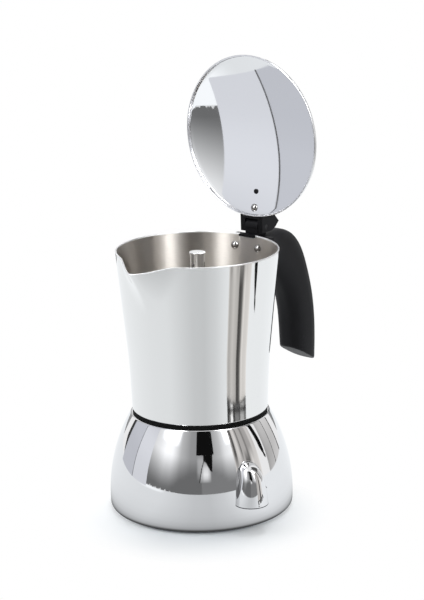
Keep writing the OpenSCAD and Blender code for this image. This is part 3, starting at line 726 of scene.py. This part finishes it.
def loft_pot():
    """Points and faces of the wall, and for each face outside (0), inside (1) or rim (2)."""
    angles, stations = wall_angles(), wall_stations()
    verts, faces, sides = [], [], []
    n = len(angles)
    for z, inset, lift in stations:
        share = (z - COLLECTOR_Z) / (RIM_Z - COLLECTOR_Z)
        for d in angles:
            r = (spout_r(d, z) - max(inset, foot_taper(z))) * MM
            turn = math.radians(d)
            drop = (RIM_Z - lip_z(d)) * share ** (LIP_FADE if abs(d) < 90 else NOTCH_FADE)
            verts.append((-r * math.cos(turn), -r * math.sin(turn), (z + lift - drop) * MM))
    for i in range(len(stations)):
        j = (i + 1) % len(stations)
        inner = stations[i][1] >= POT_WALL - 0.01 and stations[j][1] >= POT_WALL - 0.01
        on_rim = min(stations[i][0], stations[j][0]) > RIM_Z - 1.0
        for k in range(n):
            m = (k + 1) % n
            faces.append((i * n + k, i * n + m, j * n + m, j * n + k))
            sides.append(2 if on_rim else 1 if inner else 0)
    return verts, faces, sides


verts, faces, sides = loft_pot()
upper_pot = make_piece("upper_pot", verts, faces, [pot_polish, pot_inside, cut_edge], "collector",
                       "mirror_steel", ["collector_shell"])
for face, side in zip(upper_pot.data.polygons, sides):
    face.material_index = side

# %% [markdown]
# ## The lid
# The lid is a shallow pressed dome with a short skirt. It could be turned where it
# stands, about a slanted axis. It is turned closed instead, flat on the rim, and then
# swung open about the hinge pin, because that is the way it moves on the real pot and
# the numbers stay those of a round lid.

# %% Turn the lid and swing it open
LID_R, LID_H, CROWN_R, LID_ROUND, LID_T, INNER_ROUND = 50.9, 10.2, 180.0, 3.0, 1.0, 0.8
LID_OPEN, HINGE_X, HINGE_Z = 88.5, 57.2, RIM_Z + 4.35
EDGE_Z = RIM_Z + 0.3
CROWN_Z = EDGE_Z + LID_H - CROWN_R
CORNER_X, INNER_CORNER_X = LID_R - LID_ROUND, LID_R - LID_T - INNER_ROUND
CORNER_Z = CROWN_Z + math.sqrt((CROWN_R - LID_ROUND) ** 2 - CORNER_X ** 2)
INNER_CORNER_Z = CROWN_Z + math.sqrt((CROWN_R - LID_T - INNER_ROUND) ** 2 - INNER_CORNER_X ** 2)
SWING = (Matrix.Translation((HINGE_X * MM, 0, HINGE_Z * MM))
         @ Matrix.Rotation(math.radians(LID_OPEN), 4, "Y")
         @ Matrix.Translation((-HINGE_X * MM, 0, -HINGE_Z * MM)))


def lid_line():
    """Half section of the closed lid: dome, skirt, lip, and back under the dome."""
    meet = math.degrees(math.acos(CORNER_X / (CROWN_R - LID_ROUND)))
    top = arc((0, CROWN_Z), CROWN_R, 90, meet, 24)
    top[0] = Vector((0, top[0][1]))
    edge = arc((CORNER_X, CORNER_Z), LID_ROUND, meet, 0, 12)[1:]
    lip = [Vector((LID_R, EDGE_Z + 0.3)), Vector((LID_R - 0.3, EDGE_Z)),
           Vector((LID_R - LID_T + 0.3, EDGE_Z)), Vector((LID_R - LID_T, EDGE_Z + 0.3))]
    meet = math.degrees(math.acos(INNER_CORNER_X / (CROWN_R - LID_T - INNER_ROUND)))
    under = arc((INNER_CORNER_X, INNER_CORNER_Z), INNER_ROUND, 0, meet, 8)
    bowl = arc((0, CROWN_Z), CROWN_R - LID_T, meet, 90, 24)[1:]
    bowl[-1] = Vector((0, bowl[-1][1]))
    return top + edge + lip + under + bowl


verts, faces = lathe(lid_line(), 540)
lid = make_piece("lid_dome", [SWING @ Vector(v) for v in verts], faces, [lid_polish, lid_edge], "lid",
                 "mirror_steel", ["lid"])
UNSWING = SWING.inverted()
for face in lid.data.polygons:
    at = UNSWING @ face.center / MM
    r = math.hypot(at.x, at.y)
    in_skirt = INNER_CORNER_X + 0.4 < r < LID_R - LID_T + 0.01 and at.z < INNER_CORNER_Z + 0.7
    face.material_index = 1 if in_skirt or at.z < EDGE_Z + 0.35 else 0

# %% [markdown]
# ## The grip
# The grip is one moulding that leaves the rim level, bends over and hangs down beside
# the pot, where it is cut off at a slant. Its sections are rounded squares, so it is
# lofted from rungs: each rung gives the inner edge, the outer edge and half the width.
# A smooth curve through the rungs gives the sections between them. A bevelled curve
# object would be shorter, but it can only make its section larger or smaller, and this
# one changes its shape on the way. The end is a flat face with a narrow bevel, because a
# crisp end is what makes a moulding look moulded. The part behind the rim, with its
# saddle, tab and hinge knuckle, is a copy of the CAD solid, cut off inside the grip.

# %% Sections of the grip
GRIP_REACH, GRIP_DROP, GRIP_HALF, SQUARENESS = 61.2, 95.2, 9.85, 2.9
ROOT_REACH = 14.0
GRIP_SHARES = [((0.020, 0.160), (0.030, 0.014), 1.330), ((0.075, 0.166), (0.110, 0.012), 1.345),
               ((0.175, 0.196), (0.262, 0.009), 1.105), ((0.262, 0.240), (0.450, 0.010), 1.005),
               ((0.365, 0.310), (0.630, 0.055), 0.982), ((0.462, 0.398), (0.769, 0.152), 0.972),
               ((0.544, 0.500), (0.870, 0.304), 0.982), ((0.594, 0.615), (0.949, 0.482), 1.0),
               ((0.616, 0.735), (0.991, 0.650), 1.0), ((0.624, 0.810), (1.003, 0.819), 0.992),
               ((0.628, 0.858), (1.001, 0.985), 0.960)]
END_BEVEL = [((0.632, 0.866), (0.997, 0.996), 0.935), ((0.642, 0.872), (0.987, 0.998), 0.900)]


def grip_rung(share):
    (x0, z0), (x1, z1), half = share
    return (RIM_R + x0 * GRIP_REACH, RIM_Z - z0 * GRIP_DROP,
            RIM_R + x1 * GRIP_REACH, RIM_Z - z1 * GRIP_DROP, half * GRIP_HALF)


def through(a, b, c, d, t):
    """Smooth curve from b to c that heads the way a and d say."""
    slope, bend, twist = c - a, 2 * a - 5 * b + 4 * c - d, 3 * b - a - 3 * c + d
    return b + slope * t / 2 + bend * t * t / 2 + twist * t ** 3 / 2


def grip_sections(parts=5):
    rungs = [grip_rung(share) for share in GRIP_SHARES]
    last = len(rungs) - 1
    sections = []
    for i in range(last):
        four = [rungs[max(i - 1, 0)], rungs[i], rungs[i + 1], rungs[min(i + 2, last)]]
        for j in range(parts):
            sections.append([through(*values, j / parts) for values in zip(*four)])
    return sections + [rungs[last]] + [grip_rung(share) for share in END_BEVEL]


print("sections of the grip:", len(grip_sections()))

# %% Loft the grip


def squared(value):
    return math.copysign(abs(value) ** (2 / SQUARENESS), value)


def loft_grip(points=64):
    sections = grip_sections()
    verts = []
    for x0, z0, x1, z1, half in sections:
        for k in range(points):
            a = 2 * math.pi * k / points
            along = (1 + squared(math.cos(a))) / 2
            verts.append(((x0 + (x1 - x0) * along) * MM, half * squared(math.sin(a)) * MM,
                          (z0 + (z1 - z0) * along) * MM))
    return verts, tube_faces(len(sections), points)


end_plastic = moulded_plastic("end_plastic", (0.012, 0.012, 0.013), 0.55, 0.00003)
grip = make_piece("grip", *loft_grip(), [black_plastic, end_plastic], "collector", "black_plastic")
for face in list(grip.data.polygons)[-2:]:
    face.use_smooth = False
    face.material_index = 1

# %% The root of the handle, cut from a copy of the CAD solid
CUT_BOX = (RIM_R + ROOT_REACH, 140), (-30, 30), (20, 200)
BOX_FACES = [(0, 2, 3, 1), (4, 5, 7, 6), (0, 1, 5, 4), (2, 6, 7, 3), (0, 4, 6, 2), (1, 3, 7, 5)]
root = put_in_scene("handle_root", frame["nodes"]["handle"].data.copy())
xs, ys, zs = [[v * MM for v in pair] for pair in CUT_BOX]
cut_by(root, [(x, y, z) for z in zs for y in ys for x in xs], BOX_FACES)
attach(root, "collector")
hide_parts("handle")
print("handle root faces:", len(root.data.polygons))

# %% [markdown]
# ## Softer edges on the hinge
# No moulded edge is sharp, and a sharp one catches no light. A Bevel modifier rounds the
# sharp edges of the bracket and of the handle's root, and leaves the gentle ones alone.
# A modifier is used because a CAD solid's own vertices stay where they are.

# %% Soften the edges of the hinge parts
SHARP = math.radians(40)
for piece, width in ((frame["nodes"]["lid_bracket"], 0.7), (root, 0.5)):
    bevel = piece.modifiers.new("soft_edges", "BEVEL")
    bevel.width, bevel.segments, bevel.limit_method = width * MM, 3, "ANGLE"
    bevel.angle_limit = SHARP
    print("softened:", piece.name)

# %% [markdown]
# ## The room round the pot
# Polished steel has no look of its own: it shows the room. A pale table, white light
# from above and behind, a large grey screen on the camera's side that fades to dark at
# its foot, and a few upright strips to the left and right are enough for the streaks,
# the dark wedge and the bright lower edge that such pots show in a studio. A painted sky
# wrapped round the scene would be quicker, but boards can be moved one by one until each
# streak is right. They are seen only in reflections, so they neither block the camera
# nor shade the pot. Below, a list of pairs that ends in ROUND gives a tone by bearing,
# one that ends in UP gives it by height and one that ends in OUT by distance.

# %% A board that only the steel sees


def empty_tree(owner):
    """The node tree of a material or a world, with nothing in it."""
    owner.use_nodes = True
    owner.node_tree.nodes.clear()
    return owner.node_tree


def self_lit(name):
    """A material that glows in the colour stored at each point of the mesh."""
    made = bpy.data.materials.new(name)
    tree = empty_tree(made)
    out = add(tree, "ShaderNodeOutputMaterial")
    light = add(tree, "ShaderNodeEmission")
    tone = add(tree, "ShaderNodeAttribute", attribute_name="tone")
    join(tree, tone.outputs["Color"], light.inputs["Color"])
    join(tree, light.outputs[0], out.inputs["Surface"])
    return made


room_light = self_lit("room_light")


def reflected_grid(name, place, tone, us, vs):
    """A grid of points place(u, v) coloured by tone(u, v), seen only in reflections."""
    points = [(u, v) for v in vs for u in us]
    n = len(us)
    faces = [(j * n + i, j * n + i + 1, (j + 1) * n + i + 1, (j + 1) * n + i)
             for j in range(len(vs) - 1) for i in range(n - 1)]
    mesh = bpy.data.meshes.new(name)
    mesh.from_pydata([place(u, v) for u, v in points], [], faces)
    mesh.materials.append(room_light)
    colours = mesh.color_attributes.new("tone", "FLOAT_COLOR", "POINT")
    for stored, (u, v) in zip(colours.data, points):
        stored.color = (*tone(u, v), 1)
    board = put_in_scene(name, mesh)
    board.visible_camera = False
    board.visible_diffuse = False
    board.visible_shadow = False
    board.visible_transmission = False
    board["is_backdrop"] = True


# %% Boards by bearing and distance
ROOM_TOP, PATCH_H = 1.5, 0.0006


def steps_between(low, high, pitch):
    n = max(1, round((high - low) / pitch))
    return [low + (high - low) * k / n for k in range(n + 1)]


def bearing_point(bearing, distance, z):
    """A point at a bearing from the camera, in degrees, seen from the pot's axis."""
    way = turn_to(CAMERA_AZIMUTH + math.radians(bearing)) * distance
    return (way.x, way.y, z)


def upright(distance):
    """Places points by bearing and height, at one distance from the axis."""
    return lambda bearing, z: bearing_point(bearing, distance, z)


def flat(height):
    """Places points by bearing and distance, at one height."""
    return lambda bearing, distance: bearing_point(bearing, distance, height)


def screen(name, start, end, distance, low, high, tone, pitch=2.0):
    """An upright curved screen between two bearings; tone(bearing, height) colours it."""
    reflected_grid(name, upright(distance), tone, steps_between(start, end, pitch),
                   steps_between(low, high, 0.03))


def table_patch(name, start, end, near, far, tone, height=PATCH_H):
    """A flat patch over the table; tone(bearing, distance) colours it."""
    reflected_grid(name, flat(height), tone, steps_between(start, end, 4.0),
                   steps_between(near, far, 0.02))


print("1 m from the axis, towards the camera:", bearing_point(0, 1.0, 0.0))

# %% Tones for the boards


def between(x, pairs):
    """Straight-line value at x through (x, value) pairs."""
    if x <= pairs[0][0]:
        return pairs[0][1]
    for (x0, v0), (x1, v1) in zip(pairs, pairs[1:]):
        if x <= x1:
            return v0 + (v1 - v0) * (x - x0) / (x1 - x0)
    return pairs[-1][1]


def grey(value, warmth=0.0):
    """A neutral colour, or a warmer (positive) or cooler (negative) one."""
    return (value * (1 + warmth), value, value * (1 - warmth))


def even(value, warmth=0.0):
    """Colours every point of a board with the same grey."""
    return lambda u, v: grey(value, warmth)


def boards_so_far():
    return len([thing for thing in scene.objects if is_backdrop(thing)])


print("a warm grey:", grey(0.5, 0.02))

# %% [markdown]
# ### The big grey screen
# It curves round the camera's side of the pot. Two soft lamps light it from above, one
# on each side, so it is bright high up at the sides and dark at its foot and in the
# middle. The middle has a gap with the dark room behind it.

# %% The grey screen and its gap
SCREEN_R, SCREEN_LOW, GAP_LEFT, GAP_RIGHT = 0.62, -0.05, -6.8, 17.5
GAP_LOW, GAP_HIGH = 0.05, 0.31
SCREEN_ROUND = [(-76, 0.60), (-60, 0.80), (-50, 1.0), (-40, 0.95), (-28, 0.45), (-15, 0.28), (0, 0.25),
                (18, 0.36), (27, 0.48), (34, 0.72), (41, 0.84), (50, 0.9)]
SCREEN_UP = [(0.70, 1.0), (0.90, 0.4)]
RISE_START, RISE_GAIN, RISE_H, RISE_BEND = 0.15, 1.15, 0.27, 1.5
FLOOR_LEFT, FLOOR_RIGHT = 0.17, 0.24
black = even(0.006)


def screen_tone(bearing, z):
    """Brightens with height, least in the middle, and keeps a least tone at its foot."""
    rise = RISE_START + RISE_GAIN * min(1.0, max(0.0, z) / RISE_H) ** RISE_BEND
    lit = rise * between(z, SCREEN_UP) * between(bearing, SCREEN_ROUND)
    return grey(max(FLOOR_LEFT if bearing < 0 else FLOOR_RIGHT, lit), -0.01)


screen("screen_left", -71.0, GAP_LEFT, SCREEN_R, SCREEN_LOW, ROOM_TOP, screen_tone)
screen("screen_high_left", -84, -71.0, SCREEN_R + 0.01, 0.27, ROOM_TOP, screen_tone)
screen("screen_right", GAP_RIGHT, 45, SCREEN_R, SCREEN_LOW, ROOM_TOP, screen_tone)
screen("screen_foot", GAP_LEFT, GAP_RIGHT, SCREEN_R, SCREEN_LOW, GAP_LOW, screen_tone)
screen("gap_high", GAP_LEFT, GAP_RIGHT, SCREEN_R, GAP_HIGH, ROOM_TOP, black)
print("boards so far:", boards_so_far())

# %% The torn edge at the screen's foot
TEARS = [(0.006, 0.95, 0.0), (0.005, 2.1, 1.0), (0.003, 4.7, 0.0)]
TEAR_MIDDLE, TEAR_LEAST, STRIP_FOOT = 0.002, 0.0003, 0.0008
TEAR_SIDES = [(28, 0.15), (45, 1.0)]


def torn_foot(bearing, up):
    """A strip up to some millimetres high: waves of three lengths make its upper edge."""
    height = TEAR_MIDDLE
    for size, rate, shift in TEARS:
        height += size * math.sin(rate * bearing + shift)
    height = max(TEAR_LEAST, height)
    z = STRIP_FOOT + up * height * between(abs(bearing), TEAR_SIDES)
    return bearing_point(bearing, SCREEN_R - 0.004, z)


reflected_grid("torn_foot", torn_foot, even(0.82, -0.01), steps_between(-70, -26, 0.25), [0.0, 1.0])
print("boards so far:", boards_so_far())

# %% [markdown]
# ### The light arch below the gap
# A dark rod leans across the screen's foot, and beside it a lamp's cone lights an arch.
# Both could be modelled, but in a curved mirror only their tones count, so they are
# painted on a fine grid, with straight steps between a few heights and bearings.

# %% The light arch below the gap
ROD = [(0.09, -2.4), (0.19, 0.2), (0.26, 3.2)]
ROD_FOOT, ROD_HALF = 0.09, 0.55
ARCH_TOP = [(2.5, 0.262), (5.9, 0.247), (10.9, 0.180), (13.8, 0.165), (18, 0.165)]
ARCH_GLOW = [(0.05, 0.24), (0.09, 0.34), (0.12, 0.75), (0.15, 0.98), (0.20, 0.80), (0.25, 0.40)]
ARCH_SPREAD = [(1.0, 0.55), (3.5, 1.0), (7.5, 1.0), (10.5, 0.55), (12.5, 0.0)]
BESIDE_ROD = [(-6.5, 0.0), (-4.0, 0.8), (-1.5, 1.0)]
BESIDE_UP = [(0.10, 0.0), (0.17, 0.26), (0.26, 0.20), (0.31, 0.0)]
DARK_EDGE = [(0.16, 13.5), (0.31, 15.5)]


def gap_tone(bearing, z):
    plain = screen_tone(bearing, z)[0]
    rod = between(z, ROD)
    if abs(bearing - rod) < ROD_HALF and z > ROD_FOOT:
        return grey(0.05)
    if bearing < rod:
        return grey(plain + between(bearing, BESIDE_ROD) * between(z, BESIDE_UP), -0.01)
    if z < ROD_FOOT or (z > between(bearing, ARCH_TOP) and bearing >= between(z, DARK_EDGE)):
        return grey(plain, -0.01)
    if z > between(bearing, ARCH_TOP):
        return black(bearing, z)
    glow = max(0.0, between(z, ARCH_GLOW) - plain)
    return grey(plain + between(bearing, ARCH_SPREAD) * glow, -0.01)


reflected_grid("gap_and_arch", upright(SCREEN_R), gap_tone, steps_between(GAP_LEFT, GAP_RIGHT, 0.35),
               steps_between(GAP_LOW, GAP_HIGH, 0.006))
print("boards so far:", boards_so_far())

# %% [markdown]
# ### Strips to the left and right
# On the left stand two pale lavender boards with a thin dark joint. On the right there
# is a tall round stand close to the pot, a narrow black flag and warm grey boards. A
# wall that bulges squeezes a wide board into a thin streak, so each board's two bearings
# set where its streak begins and ends, and its distance sets how that changes with
# height.

# %% Boards on the left
BOARD_R, BOARD_END = 0.43, -119.5
END_SLANT = [(0.02, 0.0), (0.06, 6.0)]


def lavender(heights, red, green, blue):
    """Colours a board by height in a pale lavender."""
    def tone(bearing, z):
        v = between(z, heights)
        return (v * red, v * green, v * blue)
    return tone


def slanted_end(side, z):
    """The far board ends in a dark wedge that widens from the table up."""
    return bearing_point(BOARD_END - side * between(z, END_SLANT), BOARD_R, z)


BOARD_1_UP = [(0, 0.79), (0.08, 0.80), (0.14, 0.86), (0.2, 0.87), (0.35, 0.70)]
BOARD_2_UP = [(0, 0.63), (0.1, 0.64), (0.15, 0.68), (0.25, 0.67)]
screen("board_1", -92.5, -69.3, BOARD_R, 0, ROOM_TOP, lavender(BOARD_1_UP, 0.97, 0.99, 1.05))
screen("board_joint", -93.3, -92.6, BOARD_R - 0.001, 0, 0.30, even(0.10), 0.5)
screen("board_2", BOARD_END, -92.5, BOARD_R, 0, ROOM_TOP, lavender(BOARD_2_UP, 0.96, 0.985, 1.065))
reflected_grid("board_end", slanted_end, even(0.05), [0.0, 1.0], steps_between(0.02, ROOM_TOP, 0.02))
print("boards so far:", boards_so_far())

# %% Boards and a flag on the right
WARM_R, FLAG_R = 0.55, 0.22
WARM_ROUND = [(93, 0.46), (100, 0.62), (108, 0.66), (109, 0.75), (124, 0.80)]
WARM_UP = [(0, 0.92), (0.08, 0.8), (0.2, 1.0), (0.35, 1.0), (0.42, 0.12)]
FLAG_MIDDLE = [(0.054, 85.8), (0.060, 85.3), (0.066, 84.6), (0.087, 83.3), (0.10, 83.0), (0.14, 80.9),
               (0.17, 79.5)]
FLAG_HALF = [(0.054, 0.2), (0.060, 1.5), (0.066, 1.1), (0.074, 2.0), (0.087, 2.8), (0.14, 2.8),
             (0.17, 3.6)]
FLAG_ROWS = steps_between(0.054, 0.17, 0.002) + steps_between(0.18, 0.95, 0.05)


def warm_board(bearing, z):
    return grey(between(bearing, WARM_ROUND) * between(z, WARM_UP), 0.012)


def flag_point(side, z):
    """The flag leans, and its width changes with height."""
    return bearing_point(between(z, FLAG_MIDDLE) + side * between(z, FLAG_HALF), FLAG_R, z)


screen("warm_1", 94, 108.5, WARM_R, 0, ROOM_TOP, warm_board)
screen("warm_joint", 108.5, 109.6, WARM_R, 0, ROOM_TOP, even(0.12), 0.5)
screen("warm_2", 109.6, 124, WARM_R, 0, ROOM_TOP, warm_board)
screen("warm_end", 124, 126, WARM_R, 0, ROOM_TOP, even(0.07), 0.5)
reflected_grid("black_flag", flag_point, black, [-1, -0.5, 0, 0.5, 1], FLAG_ROWS)
print("boards so far:", boards_so_far())

# %% Two grey boards behind, for the back of the pot to mirror
BACK_UP = [(0.0, 0.30), (0.12, 0.42), (0.35, 0.80)]
BACK_ROUND = [(138, 1.0), (150, 0.75), (164, 1.15)]


def back_tone(bearing, z):
    return grey(between(z, BACK_UP) * between(abs(bearing), BACK_ROUND), -0.01)


for side in (-1, 1):
    screen("back_board_%d" % (side > 0), side * 140, side * 164, SCREEN_R, 0, ROOM_TOP, back_tone)
    screen("back_edge_%d" % (side > 0), side * 164, side * 167, SCREEN_R, 0, ROOM_TOP, even(0.06), 1.0)
print("boards so far:", boards_so_far())

# %% The stand on the right
STAND_R, STAND_START, STAND_END = 0.2235, 41.5, 75.5
STAND_MIDDLE, STAND_HALF, STAND_BOW = 58.5, 16.5, 0.0075
STAND_STRIPS = [(42, 0.75), (43, 0.50), (44, 0.46), (46, 0.52), (48.5, 0.62), (50, 0.63), (52, 0.57),
                (54, 0.54), (56, 0.48), (57, 0.09), (59, 0.06), (61, 0.12), (62.5, 0.20), (63.5, 0.50),
                (64.5, 0.66), (66, 0.85), (67.5, 0.72), (72, 0.74), (74, 0.80), (76, 0.95)]
STAND_HIGH = [(42, 0.60), (44, 0.10), (46, 0.12), (47, 0.70), (50, 0.80), (52, 0.50), (54, 0.16),
              (55, 0.50), (60, 0.50), (62, 0.22), (64, 0.42), (69, 0.46), (71, 0.70), (76, 0.62)]
STAND_ROWS = [0.0005, 0.0023, 0.0025, 0.07, 0.11, 0.22]


def stand_tone(bearing, z):
    """A dark line at its foot, then one set of strips that changes to another higher up."""
    if z < 0.0024:
        return grey(0.05)
    share = between(z, [(0.07, 0.0), (0.11, 1.0)])
    low, high = between(bearing, STAND_STRIPS), between(bearing, STAND_HIGH)
    return grey(low * (1 - share) + high * share, 0.035)


def stand_point(bearing, z):
    """The stand's face bows away from the pot at both sides."""
    off = (bearing - STAND_MIDDLE) / STAND_HALF
    return bearing_point(bearing, STAND_R + STAND_BOW * off * off, z)


reflected_grid("stand", stand_point, stand_tone, steps_between(STAND_START, STAND_END, 0.5), STAND_ROWS)
print("boards so far:", boards_so_far())

# %% Two tall lamps that only the brushed inside of the pot looks up to
LAMP_R, LAMP_LOW = 0.60, 0.34
LAMP_UP = [(LAMP_LOW, 0.0), (0.60, 1.0)]


def lamp_tone(peak, middle, half):
    """A tall lamp that fades to the screen's own tone at its foot and its sides."""
    def tone(bearing, z):
        off = min(1.0, abs(bearing - middle) / half)
        behind = screen_tone(bearing, z)[0] if bearing < 45 else 1.0
        return grey(behind + peak * (1 - off * off) ** 2 * between(z, LAMP_UP), -0.015)
    return tone


screen("high_lamp_right", 34, 64, LAMP_R, LAMP_LOW, ROOM_TOP, lamp_tone(13.0, 49, 15), 1.5)
screen("high_lamp_left", -66, -29, LAMP_R, LAMP_LOW, ROOM_TOP, lamp_tone(10.0, -47, 18), 1.5)
print("boards so far:", boards_so_far())

# %% [markdown]
# ### The table as the steel sees it
# The steel mirrors the table as well. It is brightest at the back and the sides, and a
# little darker towards the camera, where the room gives it less light, and darkest close
# under the pot, a painted shadow. The table itself is seen by the camera, so its tones in
# the steel lie on thin patches just over it that only reflections show.

# %% Table tone in reflections
TABLE_ROUND = [(-180, 1.0), (-120, 0.95), (-75, 0.88), (-45, 0.86), (-25, 0.76), (-8, 0.67), (8, 0.65),
               (24, 0.74), (38, 0.88), (55, 1.0), (80, 0.98), (110, 0.97), (135, 1.0), (180, 1.0)]
TABLE_SHADOW_OUT = [(0.050, 0.05), (0.0568, 0.08), (0.0585, 0.30), (0.061, 0.58), (0.066, 0.78), (0.075, 0.90),
             (0.09, 0.96), (0.14, 1.0)]
GLOW_ROUND = [(-82, 0.0), (-72, 0.30), (-50, 0.30), (-44, 0.0)]
GLOW_OUT = [(0.34, 0), (0.43, 1)]
TABLE_NEAR, TABLE_MIDDLE = 0.050, 0.090
FOOT_NEAR, FOOT_FAR, EDGE_NEAR, EDGE_FAR = 0.175, 0.232, 0.213, 0.2205
STAND_FEET = [(42, 45, 0.06), (45, 47.5, 0.22), (47.5, 51.5, 1.1), (51.5, 55, 0.05), (55, 62, 0.24),
              (62, 64.5, 0.14), (64.5, 71.5, 0.5), (71.5, 76, 0.22)]


def table_tone(bearing, distance):
    v = between(bearing, TABLE_ROUND) * between(distance, TABLE_SHADOW_OUT)
    v *= 1.0 + between(bearing, GLOW_ROUND) * between(distance, GLOW_OUT)
    return (v * 0.975, v, v * 1.02)


reflected_grid("table_near", flat(PATCH_H), table_tone, steps_between(-180, 180, 4),
               steps_between(TABLE_NEAR, TABLE_MIDDLE, 0.001))
table_patch("table_far", -180, 180, TABLE_MIDDLE, SCREEN_R, table_tone)
for start, end, value in STAND_FEET:
    table_patch("stand_foot_%d" % start, start, end, FOOT_NEAR, FOOT_FAR, even(value), 1.5 * PATCH_H)
table_patch("stand_edge", 42.5, 76, EDGE_NEAR, EDGE_FAR, even(0.03), 2 * PATCH_H)
print("boards and patches:", boards_so_far())

# %% [markdown]
# ## Table and light
# The table is a wide pale floor that runs to white behind the pot. Seen by the camera
# and in the steel it is mostly self-lit white, because a lit floor would need so much
# light that the pot turned white as well. Near the pot it turns into a cooler, darker matt
# floor, which takes the real soft shadow at the foot. That matt patch is centred in front
# of the pot, so it also paints a shade there. Three large soft lamps light the pot.

# %% Table
SHADOW_CENTRE, SHADOW_START, SHADOW_END = (-0.018, -0.0155, 0.0), 0.036, 0.080
TABLE_HALF, TABLE_DROP = 12, 0.0002


def seen_directly(tree):
    """1 for rays from the camera and from mirrors, 0 for rays that only carry light."""
    path = add(tree, "ShaderNodeLightPath")
    either = add(tree, "ShaderNodeMath", operation="MAXIMUM")
    join(tree, path.outputs["Is Camera Ray"], either.inputs[0])
    join(tree, path.outputs["Is Glossy Ray"], either.inputs[1])
    return either.outputs[0]


def mix_into(tree, out_kind, fac, first, second):
    """Shows the first shader where the factor is 0 and the second where it is 1."""
    mixed = add(tree, "ShaderNodeMixShader")
    out = add(tree, out_kind)
    join(tree, fac, mixed.inputs["Fac"])
    join(tree, first.outputs[0], mixed.inputs[1])
    join(tree, second.outputs[0], mixed.inputs[2])
    join(tree, mixed.outputs[0], out.inputs["Surface"])


def table_finish():
    """Matt round the pot, white further out, and matt everywhere for the light it gives."""
    made = bpy.data.materials.new("pale_table")
    tree = empty_tree(made)
    matt = add(tree, "ShaderNodeBsdfDiffuse", Color=(0.76, 0.80, 0.83, 1))
    white = add(tree, "ShaderNodeEmission", Color=(1, 1, 1, 1))
    place = add(tree, "ShaderNodeTexCoord")
    from_shadow = add(tree, "ShaderNodeVectorMath", operation="DISTANCE")
    from_shadow.inputs[1].default_value = SHADOW_CENTRE
    fade = add(tree, "ShaderNodeMapRange", From_Min=SHADOW_START, From_Max=SHADOW_END)
    share = add(tree, "ShaderNodeMath", operation="MULTIPLY")
    join(tree, place.outputs["Object"], from_shadow.inputs[0])
    join(tree, from_shadow.outputs["Value"], fade.inputs["Value"])
    join(tree, seen_directly(tree), share.inputs[0])
    join(tree, fade.outputs["Result"], share.inputs[1])
    mix_into(tree, "ShaderNodeOutputMaterial", share.outputs[0], matt, white)
    return made


table_mesh = bpy.data.meshes.new("table")
corners = [(x * TABLE_HALF, y * TABLE_HALF, 0) for x, y in ((-1, -1), (1, -1), (1, 1), (-1, 1))]
table_mesh.from_pydata(corners, [], [(0, 1, 2, 3)])
table_mesh.materials.append(table_finish())
table = put_in_scene("table", table_mesh)
table.location.z = -TABLE_DROP
table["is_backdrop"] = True
print("table:", 2 * TABLE_HALF, "m wide")

# %% [markdown]
# ### Lamps and sky
# Large lamps give soft edges. They are kept out of reflections, where their squares would
# show, because the boards already give the steel its streaks. The sky is white for the
# camera and for mirrors and weaker as a light, so that the background stays white and
# the black plastic stays black.

# %% Lamps and sky
SKY_LIGHT, LAMP_AIM_Z = 0.55, 0.1


def soft_lamp(name, bearing, distance, height, size, power):
    """A square lamp aimed at the middle of the pot; sizes in metres, power in watts."""
    data = bpy.data.lights.new(name, "AREA")
    data.shape = "SQUARE"
    data.size = size
    data.energy = power
    lamp = put_in_scene(name, data)
    where = Vector(bearing_point(bearing, distance, height))
    lamp.location = where
    lamp.rotation_euler = (Vector((0, 0, LAMP_AIM_Z)) - where).to_track_quat("-Z", "Y").to_euler()
    lamp.visible_glossy = False


soft_lamp("lamp_top", bearing=172, distance=0.48, height=1.6, size=0.6, power=20)
soft_lamp("lamp_left", bearing=-100, distance=1.3, height=1.1, size=1.0, power=9)
soft_lamp("lamp_right", bearing=75, distance=1.4, height=0.9, size=0.9, power=5)

scene.world = bpy.data.worlds.new("sky")
tree = empty_tree(scene.world)
lighting = add(tree, "ShaderNodeBackground", Color=(1, 1, 1, 1), Strength=SKY_LIGHT)
seen = add(tree, "ShaderNodeBackground", Color=(1, 1, 1, 1), Strength=1.0)
path = add(tree, "ShaderNodeLightPath")
either = add(tree, "ShaderNodeMath", operation="MAXIMUM")
join(tree, seen_directly(tree), either.inputs[0])
join(tree, path.outputs["Is Transmission Ray"], either.inputs[1])
mix_into(tree, "ShaderNodeOutputWorld", either.outputs[0], lighting, seen)
scene.view_settings.view_transform = "Standard"
print("lamps:", len(bpy.data.lights))
